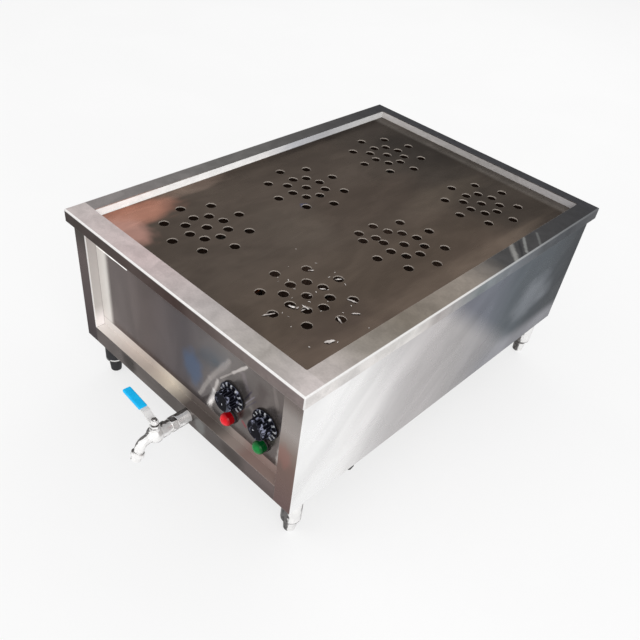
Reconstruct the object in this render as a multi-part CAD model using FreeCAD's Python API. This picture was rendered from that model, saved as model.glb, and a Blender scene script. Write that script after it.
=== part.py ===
import FreeCAD, Part
import math
import os
from FreeCAD import Vector

# Dumpling steamer: a low stainless casing on four feet, a water tank with two heaters
# under a lift-out perforated plate, a recessed control panel and a drain tap.
# Millimetres. +X is the right side, +Y the rear, -Y the control end, Z = 0 the floor.
# Everything is drawn about the middle of the cabinet and shifted along Y when it is
# written, so that the origin lies under the middle of the whole footprint, tap included.

# Overall sizes
rim_width = 600.0
rim_length = 860.0
cabinet_height = 383.0
leg_height = 100.0
side_overhang = 8.0
end_overhang = 10.0

# Sheet metal
casing_sheet = 1.2
rim_sheet = 1.5
tank_sheet = 1.5
plate_sheet = 2.0
fold_radius = 1.5
flange_width = 20.0

# Top rim: its skirt and the width of its four sides
skirt_depth = 23.5
rim_front = 41.0
rim_rear = 25.5
rim_left = 31.5
rim_right = 38.0
opening_corner = 3.0

# Tank and the ledges that carry the plate
tray_depth = 14.0
tank_lift = 172.0
ledge_width = 20.0
ledge_sheet = 2.0
crossbar_width = 25.0
crossbar_drop = 20.0

# Steam plate and its holes: a centre hole, an inner and an outer ring in each group
plate_gap = 2.5
plate_corner = 4.0
group_pitch = 254.0
group_columns = 2
group_rows = 3
group_shift = 2.5
hole_radius = 9.5
inner_ring = 38.1
outer_ring = 76.2
holes_in_ring = 8
# One group was drilled unevenly: one inner hole is missing and three stray ones are there
uneven_column = 1
uneven_row = 1
missing_inner_hole = 4
stray_holes = [(-47.1, 9.4), (-45.7, -26.8), (-75.1, -41.5)]

# Front frame round the control panel
left_stile = 34.0
right_stile = 38.5
rail_height = 36.5
recess_depth = 19.0

# Controls: the knobs stand over the lamps in two columns beside the right stile
column_inset = 50.0
column_pitch = 80.0
thermostat_below_tank = 20.0
lamp_drop = 47.5
knob_flange_radius = 28.0
knob_flange_thickness = 2.5
knob_grip_radius = 19.5
knob_grip_length = 19.0
knob_flutes = 12
flute_radius = 3.2
knob_gap = 2.2
shaft_radius = 3.0
shaft_in_knob = 14.0
shaft_in_thermostat = 20.0
shaft_flat = 1.0
thermostat_width = 34.0
thermostat_height = 39.0
thermostat_length = 34.0
thermostat_screw_pitch = 28.0
thermostat_cover_radius = 9.0
thermostat_cover = 4.0
screw_radius = 2.0
lens_radius = 12.0
lens_length = 9.5
lens_dome = 8.0
bezel_radius = 14.0
bezel_thickness = 4.5
lamp_body_radius = 8.0
lamp_body_length = 32.0
lamp_nut_flats = 22.0
lamp_nut_thickness = 4.0

# Legs and screwed feet
leg_inset_side = 27.0
leg_inset_end = 38.0
leg_radius = 18.5
leg_wall = 1.5
leg_plate_side = 50.0
leg_plate_sheet = 3.0
foot_exposed = 32.0
foot_radius = 12.5
foot_base_radius = 11.0
foot_head = 27.0
stud_radius = 5.0
stud_length = 58.0
bush_lip = 5.0
bush_length = 20.0

# Drain and tap
tap_x = 27.0
tap_level = 19.0
drain_inset = 29.0
pipe_radius = 10.65
pipe_bore = 8.0
thread_depth = 12.0
elbow_radius = 14.0
elbow_band = 15.5
elbow_bend = 16.0
elbow_reach = 27.0
elbow_band_length = 6.0
socket_radius = 13.5
socket_length = 34.0
socket_out = 27.0
inlet_hex = 26.0
inlet_hex_length = 12.0
inlet_collar = 8.0
inlet_collar_radius = 12.0
tap_bore = 5.5
ball_radius = 9.5
seat_length = 6.5
chamber_radius = 16.0
chamber_wall = 8.2
spout_drop = 3.0
spout_run = 29.0
spout_fall = 35.0
spout_radius = 9.0
spout_bend = 14.0
spout_tilt = 23.0
nozzle_ring_radius = 12.0
nozzle_ring_length = 9.0
nozzle_ring_start = 17.5
boss_radius = 9.5
boss_height = 19.0
stem_radius = 4.0
stem_neck = 3.0
gland_flats = 16.0
gland_height = 6.0
lever_rise = 29.0
lever_sheet = 2.5
lever_width = 15.0
lever_crank = 6.0
lever_crank_start = 13.0
lever_crank_end = 24.0
lever_skew = 4.0
sleeve_start = 34.0
sleeve_length = 57.0
sleeve_width = 16.0
sleeve_thickness = 7.0
sleeve_cover = 3.0
lever_nut_flats = 10.0
lever_nut_height = 5.0

# Heaters: one hairpin tube under each column of holes
heater_radius = 4.25
heater_spacing = 80.0
heater_lift = 25.0
heater_front_gap = 39.0
heater_rear_gap = 60.0
heater_bend = 20.0
heater_tail = 34.0
heater_bush_radius = 7.0
heater_flange_radius = 11.0
heater_flange = 4.0
heater_thread = 20.0
heater_nut_flats = 22.0
heater_nut_height = 8.0
support_sheet = 2.0
support_rear_gap = 174.5
support_margin = 12.0
support_cover = 4.0
terminal_radius = 4.0
terminal_length = 8.0
terminal_pin = 1.5
terminal_pin_length = 10.0

# Thermostat sensors: a thin capillary ending in a bulb in the water
capillary_radius = 0.9
capillary_bend = 10.0
sensor_offset = 12.0
sensor_lift = 14.0
sensor_drop = 12.0
sensor_lanes = [38.0, 58.0]
bulb_radius = 3.0
bulb_length = 90.0
bulb_start = 20.0
gland_radius = 5.0
gland_flange = 8.0
gland_thickness = 3.0
clip_wall = 1.2
clip_width = 8.0

# Wiring in the base
block_inset = 77.0
block_behind_panel = 91.0
block_length = 70.0
block_depth = 34.0
block_height = 20.0
wire_radius = 1.3
wire_bend = 6.0
wire_lane_pitch = 8.0
wire_first_lane = 46.0
wire_row = 7.0
block_hole_radius = 1.8
block_hole_depth = 8.0
earth_inset = 142.0
earth_behind_panel = 164.0
earth_radius = 3.0
earth_length = 16.0
earth_flats = 10.0
earth_head = 4.0
earth_nut = 5.0
cord_gland_inset = 9.0
cord_gland_from_front = 158.0
cord_gland_radius = 7.0
cord_gland_neck = 5.5
cord_gland_bore = 3.5
cord_gland_drop = 15.0
cord_gland_boot = 8.5
cord_gland_top = 4.0

# Base panel
vent_length = 60.0
vent_width = 5.0
vent_pitch = 14.0
vents_in_row = 8
vent_row_offset = 110.0
base_screws_per_side = 5
base_screw_head = 4.0
base_screw_head_height = 2.2
base_screw_shank = 8.0
sheet_clearance = 0.5

# Clearances of fits
running_fit = 0.05
seated_fit = 0.05
free_gap = 0.3

# Places worked out from the sizes above
half_width = rim_width / 2
half_length = rim_length / 2
casing_x = half_width - side_overhang
casing_y = half_length - end_overhang
casing_bottom = leg_height
casing_top = cabinet_height - rim_sheet
open_x0 = -half_width + rim_left
open_x1 = half_width - rim_right
open_y0 = -half_length + rim_front
open_y1 = half_length - rim_rear
plate_top = cabinet_height - tray_depth
ledge_top = plate_top - plate_sheet
tank_floor = casing_bottom + tank_lift
tank_underside = tank_floor - tank_sheet
stile_x0 = -casing_x + left_stile
stile_x1 = casing_x - right_stile
panel_front = -casing_y + recess_depth
panel_back = panel_front + casing_sheet
tank_front = open_y0 - tank_sheet
rail_top = casing_bottom + rail_height
flange_top = casing_bottom + casing_sheet
base_top = flange_top + casing_sheet
columns = [stile_x1 - column_inset - column_pitch, stile_x1 - column_inset]
knob_z = tank_underside - thermostat_below_tank - thermostat_height / 2
lamp_z = knob_z - lamp_drop
knob_back = panel_front - knob_gap
tap_z = casing_bottom + tap_level
drain_y = open_y0 + drain_inset
block_x = casing_x - block_inset
block_y = panel_back + block_behind_panel
earth_x = casing_x - earth_inset
earth_y = panel_back + earth_behind_panel
front = Vector(0, -1, 0)
up = Vector(0, 0, 1)


# Basic shapes
def box(x0, x1, y0, y1, z0, z1):
    return Part.makeBox(x1 - x0, y1 - y0, z1 - z0, Vector(x0, y0, z0))


def rod(radius, start, end):
    direction = end.sub(start)
    return Part.makeCylinder(radius, direction.Length, start, direction)


def ring(outer, inner, start, end):
    return rod(outer, start, end).cut(rod(inner, start, end))


def along(start, direction, distance):
    return start.add(Vector(direction).multiply(distance))


def turned(profile, start, direction):
    """Solid of revolution from (distance along the axis, radius) points."""
    corners = [Vector(radius, 0, distance) for distance, radius in profile]
    face = Part.Face(Part.makePolygon(corners + [corners[0]]))
    solid = face.revolve(Vector(0, 0, 0), up, 360)
    solid.Placement = FreeCAD.Placement(start, FreeCAD.Rotation(up, direction))
    return solid


def hexagon(flats, start, direction, length, bore):
    """Hexagonal nut blank with a round bore."""
    corner = flats / math.sqrt(3)
    angles = [math.radians(60 * turn) for turn in range(7)]
    outline = Part.makePolygon([Vector(corner * math.cos(a), corner * math.sin(a), 0) for a in angles])
    blank = Part.Face(outline).extrude(Vector(0, 0, length))
    round_corners = Part.makeCone(corner, corner * 0.93, length * 0.5, Vector(0, 0, length * 0.5))
    limit = round_corners.fuse(Part.makeCylinder(corner, length * 0.5))
    blank = blank.common(limit)
    blank = blank.cut(Part.makeCylinder(bore, length))
    blank.Placement = FreeCAD.Placement(start, FreeCAD.Rotation(up, direction))
    return blank


def rounded_box(x0, x1, y0, y1, z0, z1, corner):
    """Box with rounded upright corners."""
    solid = box(x0, x1, y0, y1, z0, z1)
    upright = [e for e in solid.Edges if abs(e.tangentAt(e.FirstParameter).z) > 0.99]
    return solid.makeFillet(corner, upright)


def rounded_path(points, bends):
    """Straight runs joined by tangent arcs, one bend radius for each inner point."""
    edges = []
    start = points[0]
    for before, corner, after, bend in zip(points, points[1:], points[2:], bends):
        back = before.sub(corner).normalize()
        ahead = after.sub(corner).normalize()
        half = back.getAngle(ahead) / 2
        first = along(corner, back, bend / math.tan(half))
        last = along(corner, ahead, bend / math.tan(half))
        inward = back.add(ahead).normalize()
        middle = along(corner, inward, bend / math.sin(half) - bend)
        edges.append(Part.LineSegment(start, first).toShape())
        edges.append(Part.Arc(first, middle, last).toShape())
        start = last
    edges.append(Part.LineSegment(start, points[-1]).toShape())
    return Part.Wire(edges)


def swept(points, bends, radius):
    """Round bar that follows a path."""
    profile = Part.Wire(Part.makeCircle(radius, points[0], points[1].sub(points[0])))
    return rounded_path(points, bends).makePipeShell([profile], True, False)


def fuse(shapes):
    whole = shapes[0]
    for shape in shapes[1:]:
        whole = whole.fuse(shape)
    return whole.removeSplitter()


def cut_all(shape, tools):
    for tool in tools:
        shape = shape.cut(tool)
    return shape


def fold_edges(shape, x, y):
    """Rounds the outside of the upright fold at x, y."""
    folds = []
    for edge in shape.Edges:
        at = edge.Vertexes[0].Point
        upright = abs(edge.tangentAt(edge.FirstParameter).z) > 0.99
        if upright and abs(at.x - x) < 0.01 and abs(at.y - y) < 0.01:
            folds.append(edge)
    return shape.makeFillet(fold_radius, folds)


# Top frame and tank
def make_top_rim():
    low = cabinet_height - skirt_depth
    shell = box(-half_width, half_width, -half_length, half_length, low, cabinet_height)
    outside = [e for e in shell.Edges if e.BoundBox.ZMax > cabinet_height - 0.01]
    shell = shell.makeFillet(fold_radius, outside)
    inside_x = half_width - rim_sheet
    inside_y = half_length - rim_sheet
    shell = shell.cut(box(-inside_x, inside_x, -inside_y, inside_y, low, casing_top))
    opening = rounded_box(open_x0, open_x1, open_y0, open_y1, casing_top, cabinet_height, opening_corner)
    return shell.cut(opening)


def heater_leg_places():
    """Centres of the four heater legs in the tank floor."""
    places = []
    for centre in group_centres_x():
        for side in (-1, 1):
            places.append((centre + side * heater_spacing / 2, open_y0 + heater_front_gap))
    return places


def sensor_places():
    """Centres of the two capillary glands in the tank floor."""
    return [(sensor_offset, panel_back + sensor_lanes[0] + thermostat_length),
            (-sensor_offset, panel_back + sensor_lanes[1] + thermostat_length)]


def make_water_tank():
    """Five plates welded along their edges: floor, two long walls and two ends between them."""
    x0 = open_x0 - tank_sheet
    x1 = open_x1 + tank_sheet
    y1 = open_y1 + tank_sheet
    floor = box(x0, x1, tank_front, y1, tank_underside, tank_floor)
    holes = [(tap_x, drain_y, pipe_radius + seated_fit)]
    holes += [(x, y, heater_bush_radius + seated_fit) for x, y in heater_leg_places()]
    holes += [(x, y, gland_radius + seated_fit) for x, y in sensor_places()]
    for x, y, radius in holes:
        floor = floor.cut(rod(radius, Vector(x, y, tank_underside), Vector(x, y, tank_floor)))
    return Part.makeCompound([
        floor,
        box(x0, open_x0, tank_front, y1, tank_floor, casing_top),
        box(open_x1, x1, tank_front, y1, tank_floor, casing_top),
        box(open_x0, open_x1, tank_front, open_y0, tank_floor, casing_top),
        box(open_x0, open_x1, open_y1, y1, tank_floor, casing_top)])


def angle_bar(x0, x1, y0, y1, wall):
    """Ledge: a flat top leg and a leg down the tank wall on the named side."""
    flat = box(x0, x1, y0, y1, ledge_top - ledge_sheet, ledge_top)
    low = ledge_top - ledge_width
    if wall == "left":
        leg = box(x0, x0 + ledge_sheet, y0, y1, low, ledge_top)
    elif wall == "right":
        leg = box(x1 - ledge_sheet, x1, y0, y1, low, ledge_top)
    elif wall == "front":
        leg = box(x0, x1, y0, y0 + ledge_sheet, low, ledge_top)
    else:
        leg = box(x0, x1, y1 - ledge_sheet, y1, low, ledge_top)
    return flat.fuse(leg).removeSplitter()


def make_plate_ledges():
    side_y0 = open_y0 + opening_corner
    side_y1 = open_y1 - opening_corner
    end_x0 = open_x0 + ledge_width
    end_x1 = open_x1 - ledge_width
    return Part.makeCompound([
        angle_bar(open_x0, end_x0, side_y0, side_y1, "left"),
        angle_bar(end_x1, open_x1, side_y0, side_y1, "right"),
        angle_bar(end_x0, end_x1, open_y0, open_y0 + ledge_width, "front"),
        angle_bar(end_x0, end_x1, open_y1 - ledge_width, open_y1, "rear")])


def make_plate_crossbars():
    bars = []
    x0 = open_x0 + ledge_width
    x1 = open_x1 - ledge_width
    for gap in range(group_rows - 1):
        y = group_shift + (gap - (group_rows - 2) / 2) * group_pitch
        top = box(x0, x1, y - crossbar_width / 2, y + crossbar_width / 2, ledge_top - ledge_sheet, ledge_top)
        web = box(x0, x1, y - ledge_sheet / 2, y + ledge_sheet / 2, ledge_top - crossbar_drop, ledge_top)
        bars.append(top.fuse(web).removeSplitter())
    return Part.makeCompound(bars)


# Steam plate
def group_centres_x():
    return [(column - (group_columns - 1) / 2) * group_pitch for column in range(group_columns)]


def group_centres_y():
    return [group_shift + (row - (group_rows - 1) / 2) * group_pitch for row in range(group_rows)]


def hole_places(column, row):
    """Holes of one group, measured from the group's centre."""
    uneven = column == uneven_column and row == uneven_row
    places = [(0.0, 0.0)]
    for radius in (inner_ring, outer_ring):
        for step in range(holes_in_ring):
            if uneven and radius == inner_ring and step == missing_inner_hole:
                continue
            angle = 2 * math.pi * step / holes_in_ring
            places.append((radius * math.cos(angle), radius * math.sin(angle)))
    if uneven:
        places += stray_holes
    return places


def make_steam_plate():
    plate = rounded_box(open_x0 + plate_gap, open_x1 - plate_gap, open_y0 + plate_gap, open_y1 - plate_gap,
                        ledge_top, plate_top, plate_corner)
    drills = []
    for column, x in enumerate(group_centres_x()):
        for row, y in enumerate(group_centres_y()):
            for dx, dy in hole_places(column, row):
                low = Vector(x + dx, y + dy, ledge_top)
                drills.append(Part.makeCylinder(hole_radius, plate_sheet, low))
    return plate.cut(Part.makeCompound(drills))


# Casing
def make_side(sign, stile):
    """Side wall, front stile, recess wall and flanges, folded from one sheet."""
    t = casing_sheet
    web = box(casing_x - t, casing_x, -casing_y, casing_y, casing_bottom, casing_top)
    face = box(casing_x - stile, casing_x, -casing_y, -casing_y + t, casing_bottom, casing_top)
    reveal = box(casing_x - stile, casing_x - stile + t, -casing_y, panel_front, casing_bottom, casing_top)
    low = box(casing_x - flange_width, casing_x, -casing_y, casing_y, casing_bottom, flange_top)
    back = box(casing_x - flange_width, casing_x, casing_y - t, casing_y, casing_bottom, casing_top)
    side = fuse([web, face, reveal, low, back])
    side = fold_edges(side, casing_x, -casing_y)
    side = fold_edges(side, casing_x, casing_y)
    if sign < 0:
        side = side.mirror(Vector(0, 0, 0), Vector(1, 0, 0))
    return side


def base_screw_places():
    places = []
    first = -casing_y + 2 * leg_inset_end + leg_plate_side / 2
    last = casing_y - 2 * leg_inset_end - leg_plate_side / 2
    for step in range(base_screws_per_side):
        y = first + (last - first) * step / (base_screws_per_side - 1)
        for sign in (-1, 1):
            places.append((sign * (casing_x - flange_width / 2), y))
    return places


def base_screw_holes():
    low = casing_bottom
    return [rod(screw_radius + seated_fit, Vector(x, y, low), Vector(x, y, base_top))
            for x, y in base_screw_places()]


def cord_gland_place():
    return Vector(casing_x - cord_gland_inset, cord_gland_from_front - casing_y, 0)


def cord_gland_hole():
    place = cord_gland_place()
    return rod(cord_gland_neck + seated_fit, Vector(place.x, place.y, casing_bottom),
               Vector(place.x, place.y, base_top))


def make_left_side():
    return cut_all(make_side(-1, left_stile), base_screw_holes())


def make_right_side():
    return cut_all(make_side(1, right_stile), base_screw_holes() + [cord_gland_hole()])


def make_rear_panel():
    t = casing_sheet
    x = casing_x - t
    sheet = box(-x, x, casing_y - 2 * t, casing_y - t, flange_top, casing_top)
    x = casing_x - flange_width
    foot = box(-x, x, casing_y - flange_width, casing_y - t, casing_bottom, flange_top)
    heel = box(-x, x, casing_y - 2 * t, casing_y - t, casing_bottom, base_top)
    return fuse([sheet, foot, heel])


def make_front_rail():
    t = casing_sheet
    face = box(stile_x0, stile_x1, -casing_y, -casing_y + t, casing_bottom, rail_top)
    ledge = box(stile_x0, stile_x1, -casing_y, panel_front, rail_top - t, rail_top)
    foot = box(stile_x0, stile_x1, -casing_y, -casing_y + flange_width, casing_bottom, flange_top)
    rail = fuse([face, ledge, foot])
    hole = rod(socket_radius + seated_fit, Vector(tap_x, -casing_y, tap_z), Vector(tap_x, panel_front, tap_z))
    return rail.cut(hole)


def panel_through(x, z, radius):
    return rod(radius, Vector(x, panel_front, z), Vector(x, panel_back, z))


def thermostat_screw_places():
    places = []
    for x in columns:
        for side in (-1, 1):
            places.append((x + side * thermostat_screw_pitch / 2, knob_z))
    return places


def make_control_panel():
    t = casing_sheet
    x0 = -casing_x + flange_width
    x1 = casing_x - flange_width
    top = cabinet_height - skirt_depth / 2
    sheet = box(x0, x1, panel_front, panel_back, flange_top, top)
    hem = box(x0, x1, panel_front, tank_front, top - t, top)
    panel = fuse([sheet, hem])
    holes = [panel_through(x, knob_z, 2 * shaft_radius) for x in columns]
    holes += [panel_through(x, lamp_z, lamp_body_radius + seated_fit) for x in columns]
    holes += [panel_through(x, z, screw_radius + seated_fit) for x, z in thermostat_screw_places()]
    holes.append(panel_through(tap_x, tap_z, socket_radius + free_gap))
    return cut_all(panel, holes)


def make_base_panel():
    x = casing_x - casing_sheet - sheet_clearance
    y0 = panel_back + sheet_clearance
    y1 = casing_y - 2 * casing_sheet - sheet_clearance
    panel = box(-x, x, y0, y1, flange_top, base_top)
    slots = []
    for row in (-1, 1):
        for step in range(vents_in_row):
            y = (step - (vents_in_row - 1) / 2) * vent_pitch
            x = row * vent_row_offset
            slots.append(rounded_box(x - vent_length / 2, x + vent_length / 2, y - vent_width / 2,
                                     y + vent_width / 2, flange_top, base_top, vent_width * 0.45))
    slots.append(rod(earth_radius + seated_fit, Vector(earth_x, earth_y, flange_top),
                     Vector(earth_x, earth_y, base_top)))
    return cut_all(panel, slots + base_screw_holes() + [cord_gland_hole()])


def make_base_screws():
    screws = []
    for x, y in base_screw_places():
        head = [(0, 0), (0, base_screw_head * 0.8), (base_screw_head_height * 0.5, base_screw_head),
                (base_screw_head_height, base_screw_head), (base_screw_head_height, screw_radius),
                (base_screw_head_height + base_screw_shank, screw_radius),
                (base_screw_head_height + base_screw_shank, 0)]
        screws.append(turned(head, Vector(x, y, casing_bottom - base_screw_head_height), up))
    return Part.makeCompound(screws)


# Legs and feet
leg_places = {
    "front_left": (-casing_x + leg_inset_side, -casing_y + leg_inset_end),
    "front_right": (casing_x - leg_inset_side, -casing_y + leg_inset_end),
    "rear_left": (-casing_x + leg_inset_side, casing_y - leg_inset_end),
    "rear_right": (casing_x - leg_inset_side, casing_y - leg_inset_end)}


def make_leg(x, y):
    """Tube welded to a plate under the casing."""
    half = leg_plate_side / 2
    plate_low = casing_bottom - leg_plate_sheet
    plate = rounded_box(x - half, x + half, y - half, y + half, plate_low, casing_bottom, opening_corner)
    tube_low = Vector(x, y, foot_exposed + bush_lip)
    tube = ring(leg_radius, leg_radius - leg_wall, tube_low, Vector(x, y, plate_low))
    return plate.fuse(tube)


def make_leg_bushes():
    bushes = []
    for x, y in leg_places.values():
        spigot = leg_radius - leg_wall - seated_fit
        bore = stud_radius + running_fit
        outline = [(0, bore), (0, leg_radius - 1), (1, leg_radius), (bush_lip, leg_radius),
                   (bush_lip, spigot), (bush_lip + bush_length, spigot), (bush_lip + bush_length, bore)]
        bushes.append(turned(outline, Vector(x, y, foot_exposed), up))
    return Part.makeCompound(bushes)


def make_foot(x, y):
    """Turned foot with its threaded stud."""
    top = foot_head + stud_length
    outline = [(0, 0), (0, foot_base_radius - 1.5), (1.5, foot_base_radius),
               (foot_head * 0.75, foot_radius), (foot_head - 2, foot_radius), (foot_head, foot_radius - 2),
               (foot_head, stud_radius), (top - 1, stud_radius), (top, stud_radius - 1), (top, 0)]
    return turned(outline, Vector(x, y, 0), up)


# Knobs, thermostats and sensors
def make_knob(x):
    """Numbered flange with a fluted grip, bored for the shaft."""
    f = knob_flange_thickness
    g = knob_grip_length
    outline = [(0, 0), (0, knob_flange_radius - 0.5), (0.5, knob_flange_radius), (f - 1, knob_flange_radius),
               (f, knob_flange_radius - 3), (f, knob_grip_radius), (f + g - 1.5, knob_grip_radius - 0.5),
               (f + g, knob_grip_radius - 2), (f + g, 0)]
    start = Vector(x, knob_back, knob_z)
    knob = turned(outline, start, front)
    flutes = []
    for step in range(knob_flutes):
        angle = 2 * math.pi * (step + 0.5) / knob_flutes
        reach = knob_grip_radius + flute_radius * 0.35
        at = Vector(x + reach * math.cos(angle), knob_back - f, knob_z + reach * math.sin(angle))
        flutes.append(rod(flute_radius, at, along(at, front, g)))
    knob = cut_all(knob, flutes)
    bore = shaft_radius + running_fit
    socket = rod(bore, start, along(start, front, shaft_in_knob))
    flat = box(x - bore, x + bore, knob_back - shaft_in_knob, knob_back,
               knob_z + shaft_radius - shaft_flat + running_fit, knob_z + bore)
    return knob.cut(socket.cut(flat))


def make_thermostat_shaft(x):
    """Shaft from inside the thermostat to inside the knob, with its driving flat."""
    inner = Vector(x, panel_back + shaft_in_thermostat, knob_z)
    outer = Vector(x, knob_back - shaft_in_knob + free_gap, knob_z)
    shaft = rod(shaft_radius, inner, outer)
    flat = box(x - shaft_radius, x + shaft_radius, outer.y, knob_back,
               knob_z + shaft_radius - shaft_flat, knob_z + shaft_radius)
    return shaft.cut(flat)


def make_thermostat(x):
    """Body behind the panel with a bore that the shaft turns in."""
    half_x = thermostat_width / 2
    half_z = thermostat_height / 2
    back = panel_back + thermostat_length
    body = rounded_box(x - half_x, x + half_x, panel_back, back, knob_z - half_z, knob_z + half_z, 0.5)
    cover = rod(thermostat_cover_radius, Vector(x, back, knob_z), Vector(x, back + thermostat_cover, knob_z))
    body = fuse([body, cover])
    bore = rod(shaft_radius + running_fit, Vector(x, panel_back, knob_z),
               Vector(x, panel_back + shaft_in_thermostat + free_gap, knob_z))
    body = body.cut(bore)
    for screw_x in (x - thermostat_screw_pitch / 2, x + thermostat_screw_pitch / 2):
        body = body.cut(rod(screw_radius + seated_fit, Vector(screw_x, panel_back, knob_z),
                            Vector(screw_x, panel_back + base_screw_shank, knob_z)))
    return body


def make_thermostat_screws():
    """Low-head screws through the panel, hidden behind the knob flanges."""
    head_height = knob_gap * 0.6
    shank = base_screw_shank * 0.9
    screws = []
    for x, z in thermostat_screw_places():
        outline = [(0, 0), (0, screw_radius), (shank, screw_radius), (shank, base_screw_head),
                   (shank + head_height, base_screw_head - 1), (shank + head_height, 0)]
        screws.append(turned(outline, Vector(x, panel_front + shank, z), front))
    return Part.makeCompound(screws)


def make_sensor(index):
    """Capillary from the thermostat, up through its gland, ending in a bulb in the water."""
    x, y = sensor_places()[index]
    z = knob_z - sensor_drop
    bulb_z = tank_floor + sensor_lift
    start = Vector(columns[index], panel_back + thermostat_length, z)
    corners = [start, Vector(columns[index], y, z), Vector(x, y, z), Vector(x, y, bulb_z),
               Vector(x, y + bulb_start, bulb_z)]
    bends = [capillary_bend] * 3
    line = swept(corners, bends, capillary_radius)
    bulb = turned([(0, 0), (0, bulb_radius - 1), (2, bulb_radius), (bulb_length - 3, bulb_radius),
                   (bulb_length, bulb_radius - 2), (bulb_length, 0)], corners[-1], Vector(0, 1, 0))
    return line.fuse(bulb)


def make_sensor_glands():
    glands = []
    bore = capillary_radius + seated_fit
    seat = gland_thickness + tank_sheet
    top = seat + gland_thickness
    for x, y in sensor_places():
        outline = [(0, bore), (0, gland_radius), (seat, gland_radius), (seat, gland_flange),
                   (top, gland_flange - 1), (top, bore)]
        glands.append(turned(outline, Vector(x, y, tank_underside - gland_thickness), up))
    return Part.makeCompound(glands)


def make_sensor_clips():
    """Two clips hold each bulb above the tank floor."""
    clips = []
    for x, y in sensor_places():
        for share in (0.25, 0.75):
            at = y + bulb_start + bulb_length * share
            high = tank_floor + sensor_lift
            loop = ring(bulb_radius + seated_fit + clip_wall, bulb_radius + seated_fit,
                        Vector(x, at - clip_width / 2, high), Vector(x, at + clip_width / 2, high))
            post = box(x - clip_wall, x + clip_wall, at - clip_width / 2, at + clip_width / 2,
                       tank_floor, high - bulb_radius - seated_fit - clip_wall / 2)
            pad = box(x - gland_radius, x + gland_radius, at - clip_width / 2, at + clip_width / 2,
                      tank_floor, tank_floor + clip_wall)
            clips.append(fuse([loop, post, pad]))
    return Part.makeCompound(clips)


# Signal lamps
def make_lens(x):
    """Domed lens: a short cylinder closed by part of a sphere."""
    base = Vector(x, panel_front - bezel_thickness, lamp_z)
    ball = (lens_radius ** 2 + lens_dome ** 2) / (2 * lens_dome)
    shoulder = along(base, front, lens_length)
    cylinder = rod(lens_radius, base, shoulder)
    sphere = Part.makeSphere(ball, along(shoulder, front, lens_dome - ball))
    dome = rod(lens_radius, shoulder, along(shoulder, front, lens_dome)).common(sphere)
    return fuse([cylinder, dome])


def make_lamp_bezels():
    bezels = []
    for x in columns:
        outline = [(0, lamp_body_radius + seated_fit), (0, bezel_radius), (bezel_thickness - 1, bezel_radius),
                   (bezel_thickness, bezel_radius - 1), (bezel_thickness, lamp_body_radius + seated_fit)]
        bezels.append(turned(outline, Vector(x, panel_front, lamp_z), front))
    return Part.makeCompound(bezels)


def make_lamp_body(x):
    lens_back = Vector(x, panel_front - bezel_thickness, lamp_z)
    rear = Vector(x, panel_front - bezel_thickness + lamp_body_length, lamp_z)
    tabs = [box(x + side * 3 - 0.4, x + side * 3 + 0.4, rear.y, rear.y + 6, lamp_z - 2, lamp_z + 2)
            for side in (-1, 1)]
    return fuse([rod(lamp_body_radius, lens_back, rear)] + tabs)


def make_lamp_nuts():
    return Part.makeCompound([hexagon(lamp_nut_flats, Vector(x, panel_back, lamp_z), Vector(0, 1, 0),
                                      lamp_nut_thickness, lamp_body_radius + seated_fit) for x in columns])


# Heaters
def heater_level():
    return tank_floor + heater_lift


def make_heater(centre):
    """Hairpin tube along the tank, both legs brazed into flanged bushes in the floor."""
    half = heater_spacing / 2
    y0 = open_y0 + heater_front_gap
    y1 = open_y1 - heater_rear_gap
    low = tank_underside - heater_tail
    z = heater_level()
    corners = [Vector(centre - half, y0, low), Vector(centre - half, y0, z), Vector(centre - half, y1, z),
               Vector(centre + half, y1, z), Vector(centre + half, y0, z), Vector(centre + half, y0, low)]
    turn = half * 0.95
    pieces = [swept(corners, [heater_bend, turn, turn, heater_bend], heater_radius)]
    bush_low = tank_underside - heater_thread
    for x in (centre - half, centre + half):
        bush = [(0, 0), (0, heater_bush_radius), (tank_floor - bush_low, heater_bush_radius),
                (tank_floor - bush_low, heater_flange_radius),
                (tank_floor - bush_low + heater_flange, heater_flange_radius),
                (tank_floor - bush_low + heater_flange, 0)]
        pieces.append(turned(bush, Vector(x, y0, bush_low), up))
    return fuse(pieces)


def make_heater_nuts():
    top = tank_underside - heater_nut_height
    bore = heater_bush_radius + seated_fit
    return Part.makeCompound([hexagon(heater_nut_flats, Vector(x, y, top), up, heater_nut_height, bore)
                              for x, y in heater_leg_places()])


def make_heater_supports():
    """Upright strips with holes that the two runs of each hairpin pass through."""
    supports = []
    y = open_y1 - support_rear_gap
    z = heater_level()
    for centre in group_centres_x():
        half = heater_spacing / 2
        x0 = centre - half - support_margin
        x1 = centre + half + support_margin
        web = box(x0, x1, y, y + support_sheet, tank_floor, z + heater_radius + support_cover)
        pad = box(x0, x1, y, y + support_margin, tank_floor, tank_floor + support_sheet)
        strip = web.fuse(pad).removeSplitter()
        for x in (centre - half, centre + half):
            back = Vector(x, y + support_sheet, z)
            strip = strip.cut(rod(heater_radius + seated_fit, Vector(x, y, z), back))
        supports.append(strip)
    return Part.makeCompound(supports)


def make_heater_terminals():
    """Insulating beads with a pin at the end of each heater leg."""
    beads = []
    low = tank_underside - heater_tail
    for x, y in heater_leg_places():
        end = terminal_length + terminal_pin_length
        outline = [(0, 0), (0, terminal_radius - 1), (1, terminal_radius), (terminal_length, terminal_radius),
                   (terminal_length, terminal_pin), (end, terminal_pin), (end, 0)]
        beads.append(turned(outline, Vector(x, y, low), Vector(0, 0, -1)))
    return Part.makeCompound(beads)


# Wiring
def block_lane(index):
    """Place of one wire on the terminal block, counted from its left end."""
    return block_x - block_length / 2 + wire_lane_pitch * (index + 0.5) + 2


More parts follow.
